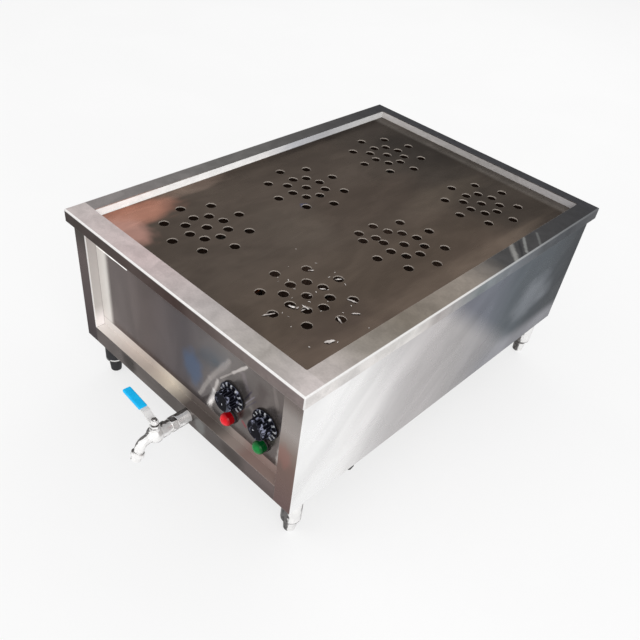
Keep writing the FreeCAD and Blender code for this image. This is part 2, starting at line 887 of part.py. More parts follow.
def wire_runs():
    """Route and bends of each wire: down from its terminal, across, and into the block."""
    block_top = base_top + block_height - block_hole_depth
    front_row = block_y - wire_row
    rear_row = block_y + wire_row
    low = tank_underside - heater_tail - terminal_length - terminal_pin_length
    runs = []
    for index, (x, y) in enumerate(heater_leg_places()):
        lane = base_top + wire_first_lane + wire_lane_pitch * index
        end = block_lane(index + 1)
        runs.append([Vector(x, y, low), Vector(x, y, lane), Vector(x, front_row, lane),
                     Vector(end, front_row, lane), Vector(end, front_row, block_top)])
    lamp_back = panel_front - bezel_thickness + lamp_body_length
    for index, x in enumerate(columns):
        end = block_lane(index * 3 + 1)
        runs.append([Vector(x, lamp_back, lamp_z), Vector(x, rear_row, lamp_z),
                     Vector(end, rear_row, lamp_z), Vector(end, rear_row, block_top)])
    for index, x in enumerate(columns):
        end = block_lane(index * 3 + 3)
        z = knob_z + sensor_drop
        runs.append([Vector(x, panel_back + thermostat_length, z), Vector(x, rear_row, z),
                     Vector(end, rear_row, z), Vector(end, rear_row, block_top)])
    return runs


def make_internal_wires():
    wires = []
    for run in wire_runs():
        wires.append(swept(run, [wire_bend] * (len(run) - 2), wire_radius))
    return Part.makeCompound(wires)


def make_terminal_block():
    x0 = block_x - block_length / 2
    y0 = block_y - block_depth / 2
    top = base_top + block_height
    block = rounded_box(x0, x0 + block_length, y0, y0 + block_depth, base_top, top, 2)
    holes = []
    for run in wire_runs():
        end = run[-1]
        holes.append(rod(block_hole_radius, end, Vector(end.x, end.y, top)))
    return cut_all(block, holes)


def make_earth_stud():
    """Bolt through the base panel with its nut."""
    half = earth_radius / 2
    head = hexagon(earth_flats, Vector(earth_x, earth_y, flange_top - earth_head), up, earth_head, half)
    shank = rod(earth_radius, Vector(earth_x, earth_y, flange_top - earth_head),
                Vector(earth_x, earth_y, base_top + earth_length))
    nut = hexagon(earth_flats, Vector(earth_x, earth_y, base_top), up, earth_nut, half)
    return fuse([head, shank, nut])


def make_cord_gland():
    """Rubber gland in the flange by the right side, where the supply cord would enter."""
    at = cord_gland_place()
    bottom = casing_bottom - cord_gland_drop
    body = cord_gland_drop
    inside = body + base_top - casing_bottom
    end = inside + cord_gland_top
    outline = [(0, cord_gland_bore), (0, cord_gland_neck), (body * 0.6, cord_gland_boot),
               (body, cord_gland_boot), (body, cord_gland_neck), (inside, cord_gland_neck),
               (inside, cord_gland_radius), (end, cord_gland_neck), (end, cord_gland_bore)]
    return turned(outline, Vector(at.x, at.y, bottom), up)


# Drain
def make_drain_drop():
    low = tap_z + elbow_reach - thread_depth
    return ring(pipe_radius, pipe_bore, Vector(tap_x, drain_y, low), Vector(tap_x, drain_y, tank_floor))


def make_drain_elbow():
    top = Vector(tap_x, drain_y, tap_z + elbow_reach)
    corner = Vector(tap_x, drain_y, tap_z)
    end = Vector(tap_x, drain_y - elbow_reach, tap_z)
    down = Vector(0, 0, -1)
    back = Vector(0, 1, 0)
    outer = fuse([swept([top, corner, end], [elbow_bend], elbow_radius),
                  rod(elbow_band, top, along(top, down, elbow_band_length)),
                  rod(elbow_band, end, along(end, back, elbow_band_length))])
    hole = pipe_radius + seated_fit
    return cut_all(outer, [swept([top, corner, end], [elbow_bend], pipe_bore),
                           rod(hole, top, along(top, down, thread_depth)),
                           rod(hole, end, along(end, back, thread_depth))])


def socket_front():
    return -casing_y - socket_out


def make_drain_run():
    rear = drain_y - elbow_reach + thread_depth
    return ring(pipe_radius, pipe_bore, Vector(tap_x, rear, tap_z),
                Vector(tap_x, socket_front() + socket_length - thread_depth, tap_z))


def make_outlet_socket():
    outline = [(0, pipe_radius + seated_fit), (0, socket_radius - 0.8), (0.8, socket_radius),
               (socket_length, socket_radius), (socket_length, pipe_radius + seated_fit)]
    return turned(outline, Vector(tap_x, socket_front(), tap_z), Vector(0, 1, 0))


# Tap: distances run forward from the end of its screwed inlet
inlet_start = Vector(tap_x, socket_front() + thread_depth, tap_z)
hex_start = along(inlet_start, front, thread_depth)
collar_start = along(hex_start, front, inlet_hex_length)
body_start = along(collar_start, front, inlet_collar)
seat_room = ball_radius - math.sqrt(ball_radius ** 2 - tap_bore ** 2)
seat_overlap = seat_length - seat_room
body_bore = ball_radius + free_gap
seat_edge = math.sqrt(ball_radius ** 2 - tap_bore ** 2)
ball_place = along(body_start, front, chamber_wall + seat_length + seat_edge)
seat_reach = seat_edge + seat_overlap
spigot_end = along(ball_place, Vector(0, 1, 0), seat_reach)
bore_end = along(ball_place, front, seat_reach)
spout_corner = along(bore_end, front, spout_run - seat_reach).add(Vector(0, 0, -spout_drop))
tilt = math.radians(spout_tilt)
nozzle_direction = Vector(0, -math.sin(tilt), -math.cos(tilt))
nozzle_end = along(spout_corner, nozzle_direction, spout_fall)
stem_axis = Vector(tap_x, ball_place.y, tap_z)


def make_tap_inlet():
    """Screwed inlet with its hexagon and the spigot that holds the rear seat."""
    bore = tap_bore
    thread = ring(pipe_radius - seated_fit, bore, inlet_start, hex_start)
    hexagonal = hexagon(inlet_hex, hex_start, front, inlet_hex_length, bore)
    collar = ring(inlet_collar_radius, bore, collar_start, body_start)
    spigot = ring(body_bore - seated_fit, bore, body_start, spigot_end)
    return fuse([thread, hexagonal, collar, spigot])


def spout_path():
    return [bore_end, spout_corner, nozzle_end]


def make_tap_body():
    """Ball chamber, stem boss and bent spout in one casting."""
    chamber = Part.makeSphere(chamber_radius, ball_place)
    barrel = rod(chamber_radius * 0.86, body_start, ball_place)
    neck_length = ball_place.y - bore_end.y + 4
    neck = Part.makeCone(chamber_radius * 0.86, spout_radius, neck_length, ball_place, front)
    boss = rod(boss_radius, stem_axis, along(stem_axis, up, boss_height))
    body = fuse([chamber, barrel, neck, boss, swept(spout_path(), [spout_bend], spout_radius)])
    hollow = rod(body_bore, body_start, bore_end)
    channel = swept(spout_path(), [spout_bend], tap_bore)
    stem_hole = rod(stem_radius + running_fit, stem_axis, along(stem_axis, up, boss_height))
    wide = 2 * chamber_radius
    behind = box(tap_x - wide, tap_x + wide, body_start.y, body_start.y + wide, tap_z - wide, tap_z + wide)
    return cut_all(body, [hollow, channel, stem_hole, behind])


def make_tap_ball():
    """Bored ball, at rest turned across the pipe, with the slot that the stem turns it by."""
    across = Vector(1, 0, 0)
    ball = Part.makeSphere(ball_radius, ball_place)
    hole_start = along(ball_place, across, -ball_radius)
    ball = ball.cut(rod(tap_bore, hole_start, along(ball_place, across, ball_radius)))
    slot = box(ball_place.x - ball_radius, ball_place.x + ball_radius, ball_place.y - slot_half(),
               ball_place.y + slot_half(), tap_z + ball_radius - slot_depth(), tap_z + ball_radius)
    return ball.cut(slot)


def slot_half():
    return stem_radius * 0.45


def slot_depth():
    return (ball_radius - tap_bore) * 0.6


def make_tap_seats():
    seats = []
    hollow = Part.makeSphere(ball_radius + running_fit, ball_place)
    for direction in (front, Vector(0, 1, 0)):
        inner = along(ball_place, direction, seat_reach - seat_length)
        seat = ring(body_bore - seated_fit, tap_bore, inner, along(ball_place, direction, seat_reach))
        seats.append(seat.cut(hollow))
    return Part.makeCompound(seats)


def lever_base():
    return tap_z + lever_rise


def make_tap_stem():
    """Stem with a tongue in the ball's slot and a shoulder that the lever sits on."""
    tongue_low = tap_z + ball_radius - slot_depth() + running_fit
    shoulder = lever_base()
    top = shoulder + lever_sheet + lever_nut_height + 1
    start = tap_z + ball_radius + running_fit
    shank = turned([(0, 0), (0, stem_radius), (shoulder - start, stem_radius), (shoulder - start, stem_neck),
                    (top - start - 0.5, stem_neck), (top - start, stem_neck - 0.5), (top - start, 0)],
                   Vector(stem_axis.x, stem_axis.y, start), up)
    half = slot_half() - running_fit
    tongue = box(stem_axis.x - stem_radius * 0.85, stem_axis.x + stem_radius * 0.85, stem_axis.y - half,
                 stem_axis.y + half, tongue_low, start + 1)
    return shank.fuse(tongue)


def make_tap_gland_nut():
    start = along(stem_axis, up, boss_height)
    return hexagon(gland_flats, start, up, gland_height, stem_radius + free_gap)


def lever_outline():
    """Side view of the cranked lever strip: distance from the stem, height of its underside."""
    reach = sleeve_start + sleeve_length - sleeve_cover
    base = lever_base()
    return [(-lever_width / 2, base), (lever_crank_start, base), (lever_crank_end, base + lever_crank),
            (reach, base + lever_crank)]


def place_on_lever(shape):
    """Turns a piece drawn along +X to the lever's closed place, across the pipe."""
    shape.rotate(Vector(0, 0, 0), up, 180 - lever_skew)
    shape.translate(Vector(stem_axis.x, stem_axis.y, 0))
    return shape


def make_tap_lever():
    under = [Vector(x, -lever_width / 2, z) for x, z in lever_outline()]
    over = [Vector(p.x, p.y, p.z + lever_sheet) for p in reversed(under)]
    face = Part.Face(Part.makePolygon(under + over + [under[0]]))
    strip = face.extrude(Vector(0, lever_width, 0))
    low = lever_base()
    high = low + lever_crank + lever_sheet
    reach = sleeve_start + sleeve_length - sleeve_cover
    round_end = rod(lever_width / 2, Vector(0, 0, low), Vector(0, 0, high))
    strip = strip.common(fuse([round_end, box(0, reach, -lever_width / 2, lever_width / 2, low, high)]))
    blade_half = sleeve_width / 2 - sleeve_cover
    for side in (-1, 1):
        edge = sorted((side * blade_half, side * lever_width))
        strip = strip.cut(box(sleeve_start, reach, edge[0], edge[1], low, high))
    strip = strip.cut(rod(stem_neck + seated_fit, Vector(0, 0, low), Vector(0, 0, high)))
    return place_on_lever(strip)


def make_lever_sleeve():
    """Dipped plastic sleeve over the end of the lever."""
    middle = lever_base() + lever_crank + lever_sheet / 2
    half = sleeve_thickness / 2
    width = sleeve_width / 2
    sleeve = box(sleeve_start, sleeve_start + sleeve_length, -width, width, middle - half, middle + half)
    sleeve = sleeve.makeFillet(half * 0.7, sleeve.Edges)
    blade_half = width - sleeve_cover
    slot = box(sleeve_start, sleeve_start + sleeve_length - sleeve_cover, -blade_half, blade_half,
               middle - lever_sheet / 2, middle + lever_sheet / 2)
    return place_on_lever(sleeve.cut(slot))


def make_lever_nut():
    start = Vector(stem_axis.x, stem_axis.y, lever_base() + lever_sheet)
    return hexagon(lever_nut_flats, start, up, lever_nut_height, stem_neck + seated_fit)


def ring_start():
    return along(spout_corner, nozzle_direction, nozzle_ring_start)


def make_nozzle_ring():
    inner = spout_radius + seated_fit
    r = nozzle_ring_radius
    n = nozzle_ring_length
    outline = [(0, inner), (0, r - 1.5), (1.5, r), (n - 1.5, r), (n, r - 1.5), (n, inner)]
    return turned(outline, ring_start(), nozzle_direction)


def front_reach():
    """How far the tap stands out in front of the rim."""
    reaches = []
    for distance, radius in ((spout_fall, spout_radius),
                             (nozzle_ring_start + nozzle_ring_length, nozzle_ring_radius)):
        reaches.append(-spout_corner.y + distance * math.sin(tilt) + radius * math.cos(tilt))
    return max(reaches) - half_length


# Every sub-part by its name
def all_parts():
    centres = group_centres_x()
    parts = {
        "top_rim": make_top_rim(),
        "water_tank": make_water_tank(),
        "plate_ledges": make_plate_ledges(),
        "plate_crossbars": make_plate_crossbars(),
        "steam_plate": make_steam_plate(),
        "left_side": make_left_side(),
        "right_side": make_right_side(),
        "rear_panel": make_rear_panel(),
        "front_rail": make_front_rail(),
        "control_panel": make_control_panel(),
        "base_panel": make_base_panel(),
        "base_screws": make_base_screws(),
        "leg_bushes": make_leg_bushes(),
        "thermostat_screws": make_thermostat_screws(),
        "sensor_left": make_sensor(0),
        "sensor_right": make_sensor(1),
        "sensor_glands": make_sensor_glands(),
        "sensor_clips": make_sensor_clips(),
        "red_lens": make_lens(columns[0]),
        "green_lens": make_lens(columns[1]),
        "lamp_bezels": make_lamp_bezels(),
        "lamp_bodies": Part.makeCompound([make_lamp_body(x) for x in columns]),
        "lamp_nuts": make_lamp_nuts(),
        "heater_left": make_heater(centres[0]),
        "heater_right": make_heater(centres[1]),
        "heater_nuts": make_heater_nuts(),
        "heater_supports": make_heater_supports(),
        "heater_terminals": make_heater_terminals(),
        "terminal_block": make_terminal_block(),
        "internal_wires": make_internal_wires(),
        "earth_stud": make_earth_stud(),
        "cord_gland": make_cord_gland(),
        "drain_drop": make_drain_drop(),
        "drain_elbow": make_drain_elbow(),
        "drain_run": make_drain_run(),
        "outlet_socket": make_outlet_socket(),
        "tap_inlet": make_tap_inlet(),
        "tap_body": make_tap_body(),
        "tap_ball": make_tap_ball(),
        "tap_seats": make_tap_seats(),
        "tap_stem": make_tap_stem(),
        "tap_gland_nut": make_tap_gland_nut(),
        "tap_lever": make_tap_lever(),
        "lever_sleeve": make_lever_sleeve(),
        "lever_nut": make_lever_nut(),
        "nozzle_ring": make_nozzle_ring()}
    for corner, (x, y) in leg_places.items():
        parts["leg_" + corner] = make_leg(x, y)
        parts["foot_" + corner] = make_foot(x, y)
    for side, x in zip(("left", "right"), columns):
        parts["knob_" + side] = make_knob(x)
        parts["thermostat_shaft_" + side] = make_thermostat_shaft(x)
        parts["thermostat_" + side] = make_thermostat(x)
    return parts


os.makedirs("parts", exist_ok=True)
middle_shift = Vector(0, front_reach() / 2, 0)
for name, shape in all_parts().items():
    shape.translate(middle_shift)
    shape.exportStep("parts/" + name + ".step")
    print(name, len(shape.Solids), round(shape.Volume), shape.isValid())
print("tap reach", round(front_reach(), 2), "shift", round(middle_shift.y, 3))
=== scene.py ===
# %% [markdown]
# Dumpling steamer: a low stainless casing with a perforated plate in its top, two knobs and
# two signal lamps in a recessed panel, and a drain tap below them.
# The metalwork comes from the construction model, so this lesson is about finish: how to make
# sheet steel look like sheet steel, and how to add the small things that a workshop leaves on it.
# The first step loads the construction model as a frame that never moves.

# %% Load the frame
import math
import random

import bmesh
import bpy
from mathutils import Matrix, Vector, noise


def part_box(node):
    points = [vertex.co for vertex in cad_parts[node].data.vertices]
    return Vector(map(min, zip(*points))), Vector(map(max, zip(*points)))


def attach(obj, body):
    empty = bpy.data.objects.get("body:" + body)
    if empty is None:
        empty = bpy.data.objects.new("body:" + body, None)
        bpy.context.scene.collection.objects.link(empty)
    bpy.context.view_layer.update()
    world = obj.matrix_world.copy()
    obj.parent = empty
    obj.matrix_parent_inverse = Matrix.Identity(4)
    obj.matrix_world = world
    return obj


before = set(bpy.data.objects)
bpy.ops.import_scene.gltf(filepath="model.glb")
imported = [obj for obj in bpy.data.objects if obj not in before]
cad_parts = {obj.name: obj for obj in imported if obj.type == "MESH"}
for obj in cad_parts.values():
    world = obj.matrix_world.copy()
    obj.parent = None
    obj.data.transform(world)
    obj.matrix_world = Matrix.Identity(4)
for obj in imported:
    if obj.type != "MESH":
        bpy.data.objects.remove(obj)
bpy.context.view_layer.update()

# %% [markdown]
# Everything is placed from the boxes of a few pieces: the rim gives the top and its length,
# the control panel gives the recess, and the plate gives the level that things lie on. A tone
# that has to cover a sheet right to its edge is laid a little past it, by the overshoot.

# %% Places read from the frame
rim_low, rim_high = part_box("top_rim")
plate_low, plate_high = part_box("steam_plate")
panel_low, panel_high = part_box("control_panel")
side_low, side_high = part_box("right_side")
rail_low, rail_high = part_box("front_rail")
tank_low, tank_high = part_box("water_tank")
MM = 0.001
OVERSHOOT = 0.01
X, Y, Z = Vector((1, 0, 0)), Vector((0, 1, 0)), Vector((0, 0, 1))
panel_y = panel_low.y
front_y = rail_low.y
ledge_z = rail_high.z
recess = panel_y - front_y
middle_y = (rim_low.y + rim_high.y) / 2
print("plate top", round(plate_high.z, 4), "recess", round(recess, 4), "ledge", round(ledge_z, 4))

# %% [markdown]
# Shader nodes are wordy, so a few helpers keep each material short. `add` makes a node and
# either sets or links its inputs, `calc` is one step of arithmetic, `mix` blends two colours,
# and `paint` turns the 0 to 255 numbers of a paint chart into linear light.

# %% Helpers for shader nodes
def add(tree, kind, settings=None, inputs=None):
    node = tree.nodes.new(kind)
    for name, value in (settings or {}).items():
        setattr(node, name, value)
    for key, value in (inputs or {}).items():
        if isinstance(value, bpy.types.NodeSocket):
            tree.links.new(value, node.inputs[key])
        else:
            node.inputs[key].default_value = value
    return node


def calc(tree, operation, first, second):
    return add(tree, "ShaderNodeMath", {"operation": operation}, {0: first, 1: second}).outputs[0]


def mix(tree, factor, first, second, mode="MIX"):
    settings = {"data_type": "RGBA", "blend_type": mode}
    return add(tree, "ShaderNodeMix", settings, {0: factor, 6: first, 7: second}).outputs[2]


def vectors(tree, operation, first, second=(0, 0, 0)):
    inputs = {0: first, 1: second}
    return add(tree, "ShaderNodeVectorMath", {"operation": operation}, inputs).outputs


def dot(tree, first, second):
    return vectors(tree, "DOT_PRODUCT", first, second)["Value"]


def step(tree, value, low, high):
    return add(tree, "ShaderNodeMapRange", {"interpolation_type": "SMOOTHSTEP"},
               {"Value": value, "From Min": low, "From Max": high}).outputs[0]


def paint(red, green, blue):
    def linear(value):
        share = value / 255
        return share / 12.92 if share <= 0.04045 else ((share + 0.055) / 1.055) ** 2.4
    return (linear(red), linear(green), linear(blue), 1.0)


def new_group(name, inputs, outputs=("Mask",)):
    """Empty node group with named sockets, and its input and output nodes. Each input has
    its usual value, and a value of three numbers makes it a vector."""
    tree = bpy.data.node_groups.new(name, "ShaderNodeTree")
    for label, value in inputs.items():
        kind = "NodeSocketVector" if isinstance(value, tuple) else "NodeSocketFloat"
        socket = tree.interface.new_socket(name=label, in_out="INPUT", socket_type=kind)
        socket.default_value = value
    for label in outputs:
        tree.interface.new_socket(name=label, in_out="OUTPUT", socket_type="NodeSocketFloat")
    return tree, tree.nodes.new("NodeGroupInput").outputs, tree.nodes.new("NodeGroupOutput").inputs


print("helpers ready, mid grey is", round(paint(128, 128, 128)[0], 3))

# %% [markdown]
# Brushed sheet has fine scratches that all run one way. A noise texture gives them if its
# coordinates are squeezed: few waves along the scratch, hundreds across it. The same group
# serves every sheet, with its own number of waves along each axis.

# %% Group: brushed grain
grain_group, given, out = new_group(
    "brushed grain", {"Vector": (0, 0, 0), "Waves": (20, 900, 900), "Contrast": 0.1},
    ("Tone", "Height"))
scaled = vectors(grain_group, "MULTIPLY", given["Vector"], given["Waves"])[0]
scratch = add(grain_group, "ShaderNodeTexNoise", None,
              {"Vector": scaled, "Scale": 1.0, "Detail": 4.0, "Roughness": 0.65}).outputs[0]
uneven = calc(grain_group, "SUBTRACT", scratch, 0.5)
swing = calc(grain_group, "MULTIPLY", uneven, given["Contrast"])
grain_group.links.new(calc(grain_group, "ADD", swing, 1.0), out["Tone"])
grain_group.links.new(scratch, out["Height"])
print("made", grain_group.name)

# %% [markdown]
# Large sheets are never quite flat or quite clean, so broad soft clouds of light and dark lie
# on them: partly dirt, and partly painted reflections of an uneven sheet. The cloud can lean:
# its coordinates are turned about X before they are stretched, which gives the slanting bands
# of painted reflection that a bent sheet shows.

# %% Group: broad cloud
cloud_group, given, out = new_group(
    "broad cloud",
    {"Vector": (0, 0, 0), "Waves": (6, 6, 6), "Lean": 0.0, "Low": 0.36, "High": 0.64})
leaning = add(cloud_group, "ShaderNodeVectorRotate", {"rotation_type": "X_AXIS"},
              {"Vector": given["Vector"], "Angle": given["Lean"]}).outputs[0]
scaled = vectors(cloud_group, "MULTIPLY", leaning, given["Waves"])[0]
blotch = add(cloud_group, "ShaderNodeTexNoise", None,
             {"Vector": scaled, "Scale": 1.0, "Detail": 3.0, "Roughness": 0.5,
              "Distortion": 0.7}).outputs[0]
cloud_group.links.new(step(cloud_group, blotch, given["Low"], given["High"]), out["Mask"])
print("made", cloud_group.name)

# %% [markdown]
# Folded and ground edges are bright, partly because the polish is worn off there and partly
# from a painted glint, the highlight that a rounded edge catches. The Bevel node gives the
# normal that a rounded edge would have. Where it differs from the real one, there is an edge.

# %% Group: edge wear and glint
edge_group, given, out = new_group("edge wear and glint", {"Radius": 0.001})
rounded = add(edge_group, "ShaderNodeBevel", {"samples": 4}, {"Radius": given["Radius"]}).outputs[0]
flat = add(edge_group, "ShaderNodeNewGeometry").outputs["Normal"]
edge_group.links.new(step(edge_group, dot(edge_group, rounded, flat), 0.985, 0.86), out["Mask"])
print("made", edge_group.name)

# %% [markdown]
# Four more groups each pick out a region of a sheet, so that a tone can be laid where the real
# sheet shows it, and stays there when the part moves. Most such tones are painted reflections,
# painted light or painted shade. The first one picks the faces that look one way, by comparing
# each face's own normal with a direction.

# %% Group: face picker
face_group, given, out = new_group(
    "face picker", {"Normal": (0, 0, 1), "Direction": (0, 0, 1)})
turned = dot(face_group, given["Normal"], given["Direction"])
face_group.links.new(step(face_group, turned, 0.35, 0.85), out["Mask"])
print("made", face_group.name)

# %% [markdown]
# The band picker keeps what lies between two distances along a direction. Soft edges suit a
# reflection, and with a very small softness they are as sharp as a fold or a cut.

# %% Group: band picker
band_group, given, out = new_group(
    "band picker",
    {"Vector": (0, 0, 0), "Direction": (0, 1, 0), "Low": 0.0, "High": 1.0, "Soft": 0.01})
reach = dot(band_group, given["Vector"], given["Direction"])
past_low = calc(band_group, "SUBTRACT", reach, given["Low"])
before_high = calc(band_group, "SUBTRACT", given["High"], reach)
minus_soft = calc(band_group, "MULTIPLY", given["Soft"], -1.0)
rising = step(band_group, past_low, minus_soft, given["Soft"])
falling = step(band_group, before_high, minus_soft, given["Soft"])
band_group.links.new(calc(band_group, "MULTIPLY", rising, falling), out["Mask"])
print("made", band_group.name)

# %% [markdown]
# A soft spot is a ball round its centre, squeezed by a size along each axis. Noise is added to
# the distance from the centre, so that the outline is uneven like that of a real blotch. The
# spots carry painted reflections and painted shade.

# %% Group: soft spot
def uneven_distance(tree, distance, vector, scale, amount):
    wobble = add(tree, "ShaderNodeTexNoise", None,
                 {"Vector": vector, "Scale": scale, "Detail": 2.0}).outputs[0]
    ragged = calc(tree, "MULTIPLY", calc(tree, "SUBTRACT", wobble, 0.5), amount)
    return calc(tree, "ADD", distance, ragged)


spot_group, given, out = new_group(
    "soft spot", {"Vector": (0, 0, 0), "Centre": (0, 0, 0), "Size": (1, 1, 1)})
offset = vectors(spot_group, "SUBTRACT", given["Vector"], given["Centre"])[0]
shrunk = vectors(spot_group, "DIVIDE", offset, given["Size"])[0]
away = vectors(spot_group, "LENGTH", shrunk)["Value"]
away = uneven_distance(spot_group, away, shrunk, 1.6, 0.8)
spot_group.links.new(step(spot_group, away, 1.0, 0.35), out["Mask"])
print("made", spot_group.name)

# %% [markdown]
# A brush stroke is everything close to the line between two points. The share says how far
# along that line the nearest point lies, and clamping it makes the stroke stop at both ends.
# The strokes carry painted reflections and painted highlights.

# %% Group: soft stroke
stroke_group, given, out = new_group(
    "soft stroke",
    {"Vector": (0, 0, 0), "Start": (0, 0, 0), "End": (1, 0, 0), "Width": 0.01})
run = vectors(stroke_group, "SUBTRACT", given["End"], given["Start"])[0]
offset = vectors(stroke_group, "SUBTRACT", given["Vector"], given["Start"])[0]
share = calc(stroke_group, "DIVIDE", dot(stroke_group, offset, run), dot(stroke_group, run, run))
share = add(stroke_group, "ShaderNodeClamp", None, {"Value": share}).outputs[0]
nearest = add(stroke_group, "ShaderNodeVectorMath", {"operation": "SCALE"},
              {0: run, "Scale": share}).outputs[0]
away = vectors(stroke_group, "DISTANCE", offset, nearest)["Value"]
away = calc(stroke_group, "DIVIDE", away, given["Width"])
away = uneven_distance(stroke_group, away, given["Vector"], 60.0, 0.9)
stroke_group.links.new(step(stroke_group, away, 1.0, 0.2), out["Mask"])
print("made", stroke_group.name)

# %% [markdown]
# A finish is then built like a painting: a ground tone, layers laid over it through masks, and
# at the end the clouds, the grain and the bright edges. Most of the layers are painted
# reflections, painted light and painted shade. The class below holds the shader tree while this
# goes on. The metal itself is the Principled shader: with Metallic near 1 its colour is the
# colour of what it reflects, and where a face is ground dull it is set lower. Specular Tint
# holds back the extra brightness that a mirror has when it is seen at a flat angle, because a
# used sheet has lost it.

# %% Class: a finish in layers
class Finish:
    def __init__(self, name, ground):
        self.material = bpy.data.materials.new(name)
        self.material.use_nodes = True
        self.tree = self.material.node_tree
        self.tree.nodes.clear()
        self.shader = add(self.tree, "ShaderNodeBsdfPrincipled")
        self.surface = add(self.tree, "ShaderNodeOutputMaterial")
        self.tree.links.new(self.shader.outputs[0], self.surface.inputs[0])
        self.where = add(self.tree, "ShaderNodeTexCoord").outputs
        self.dull = None
        self.bounced = None
        self.colour = self.tone(ground)

    def use(self, group, **inputs):
        return add(self.tree, "ShaderNodeGroup", {"node_tree": group}, inputs).outputs

    def over(self, group, **inputs):
        """Mask of a group that works on the places of the object's own frame."""
        return self.use(group, Vector=self.where["Object"], **inputs)[0]

    def feed(self, socket, value):
        self.tree.links.new(value, self.shader.inputs[socket])

    def fix(self, socket, value):
        self.shader.inputs[socket].default_value = value

    def tone(self, tone):
        """A paint-chart colour, or a ramp (direction, start, end, stops) along the sheet."""
        if len(tone) == 3:
            return paint(*tone)
        direction, start, end, stops = tone
        reach = dot(self.tree, self.where["Object"], direction)
        share = add(self.tree, "ShaderNodeMapRange", None,
                    {"Value": reach, "From Min": start, "From Max": end}).outputs[0]
        ramp = add(self.tree, "ShaderNodeValToRGB", None, {0: share})
        elements = ramp.color_ramp.elements
        elements[0].position, elements[0].color = stops[0][0], paint(*stops[0][1])
        elements[1].position, elements[1].color = stops[-1][0], paint(*stops[-1][1])
        for position, colour in stops[1:-1]:
            elements.new(position).color = paint(*colour)
        return ramp.outputs[0]

    def facing(self, direction):
        return self.use(face_group, Normal=self.where["Normal"], Direction=direction)[0]

    def band(self, direction, low, high, soft=0.001):
        return self.over(band_group, Direction=direction, Low=low, High=high, Soft=soft)

    def spot(self, centre, size):
        return self.over(spot_group, Centre=centre, Size=size)

    def stroke(self, start, end, width):
        return self.over(stroke_group, Start=start, End=end, Width=width)

    def fold(self, one, other, width):
        """Narrow band on both sides of an outer edge. A face is given as (direction, place)."""
        bands = [self.band(direction, place - width, place + OVERSHOOT, width / 4)
                 for direction, place in (one, other)]
        return self.both(*bands)

    def cloud(self, waves, lean=0.0, low=0.36, high=0.64):
        return self.over(cloud_group, Waves=waves, Lean=lean, Low=low, High=high)

    def both(self, first, second):
        return calc(self.tree, "MULTIPLY", first, second)

    def other(self, mask):
        return calc(self.tree, "SUBTRACT", 1.0, mask)

    def lay(self, mask, tone, amount=1.0, dull=0.0, bounce=0.0):
        """Lays a tone over what is there. A dull layer scatters light instead of mirroring it.
        Bounce is painted light: a glow for what a face gets back from a bright neighbour close by."""
        weight = mask if amount == 1.0 else self.both(mask, amount)
        laid = self.tone(tone)
        self.colour = mix(self.tree, weight, self.colour, laid)
        if bounce:
            light = mix(self.tree, self.both(mask, bounce), (0, 0, 0, 1), laid)
            if self.bounced is not None:
                light = mix(self.tree, 1.0, self.bounced, light, "ADD")
            self.bounced = light
        if dull:
            scattered = self.both(mask, dull)
            if self.dull is not None:
                scattered = calc(self.tree, "MAXIMUM", self.dull, scattered)
            self.dull = scattered

    def vary(self, mask, amount):
        """Lightens where the mask is 1 and darkens where it is 0."""
        swing = calc(self.tree, "ADD", self.both(mask, 2 * amount), 1.0 - amount)
        self.colour = mix(self.tree, 1.0, self.colour, swing, "MULTIPLY")

    def close(self, waves, contrast=0.1, roughness=0.3, metallic=0.95, bump=0.02,
              edge=(232, 228, 226), edge_amount=0.5, edge_radius=0.0012, patchy=0.1):
        """Adds grain, bright edges of wear and painted glint, and links everything to the shader.
        """
        grain = self.use(grain_group, Vector=self.where["Object"], Waves=waves,
                         Contrast=contrast)
        self.colour = mix(self.tree, 1.0, self.colour, grain["Tone"], "MULTIPLY")
        worn_and_glinting = self.use(edge_group, Radius=edge_radius)[0]
        self.colour = mix(self.tree, self.both(worn_and_glinting, edge_amount), self.colour, paint(*edge))
        self.feed("Base Color", self.colour)
        patches = self.both(self.cloud((11, 11, 11)), patchy)
        rough = calc(self.tree, "ADD", patches, roughness - patchy / 2)
        rough = calc(self.tree, "ADD", self.both(grain["Height"], 0.08), rough)
        if metallic:
            self.fix("Specular Tint", (0.5, 0.5, 0.5, 1.0))
        if self.dull is None:
            self.fix("Metallic", metallic)
        else:
            rough = calc(self.tree, "ADD", self.both(self.dull, 0.25), rough)
            self.feed("Metallic", self.both(self.other(self.dull), metallic))
        self.feed("Roughness", rough)
        if self.bounced is not None:
            self.feed("Emission Color", self.bounced)
            self.fix("Emission Strength", 1.0)
        raised = add(self.tree, "ShaderNodeBump", None,
                     {"Strength": bump, "Distance": 0.0004, "Height": grain["Height"]})
        self.feed("Normal", raised.outputs[0])
        return self.material


print("finish class ready")

# %% [markdown]
# A construction node keeps its mesh and its place. Dressing it only puts a material in its slot.

# %% Dress
def dress(material, *names):
    for name in names:
        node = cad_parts[name]
        if not node.material_slots:
            node.data.materials.append(material)
        for slot in node.material_slots:
            slot.material = material
    print(material.name, "on", len(names), "nodes,", len(material.node_tree.nodes), "shader nodes")


print("dress ready")
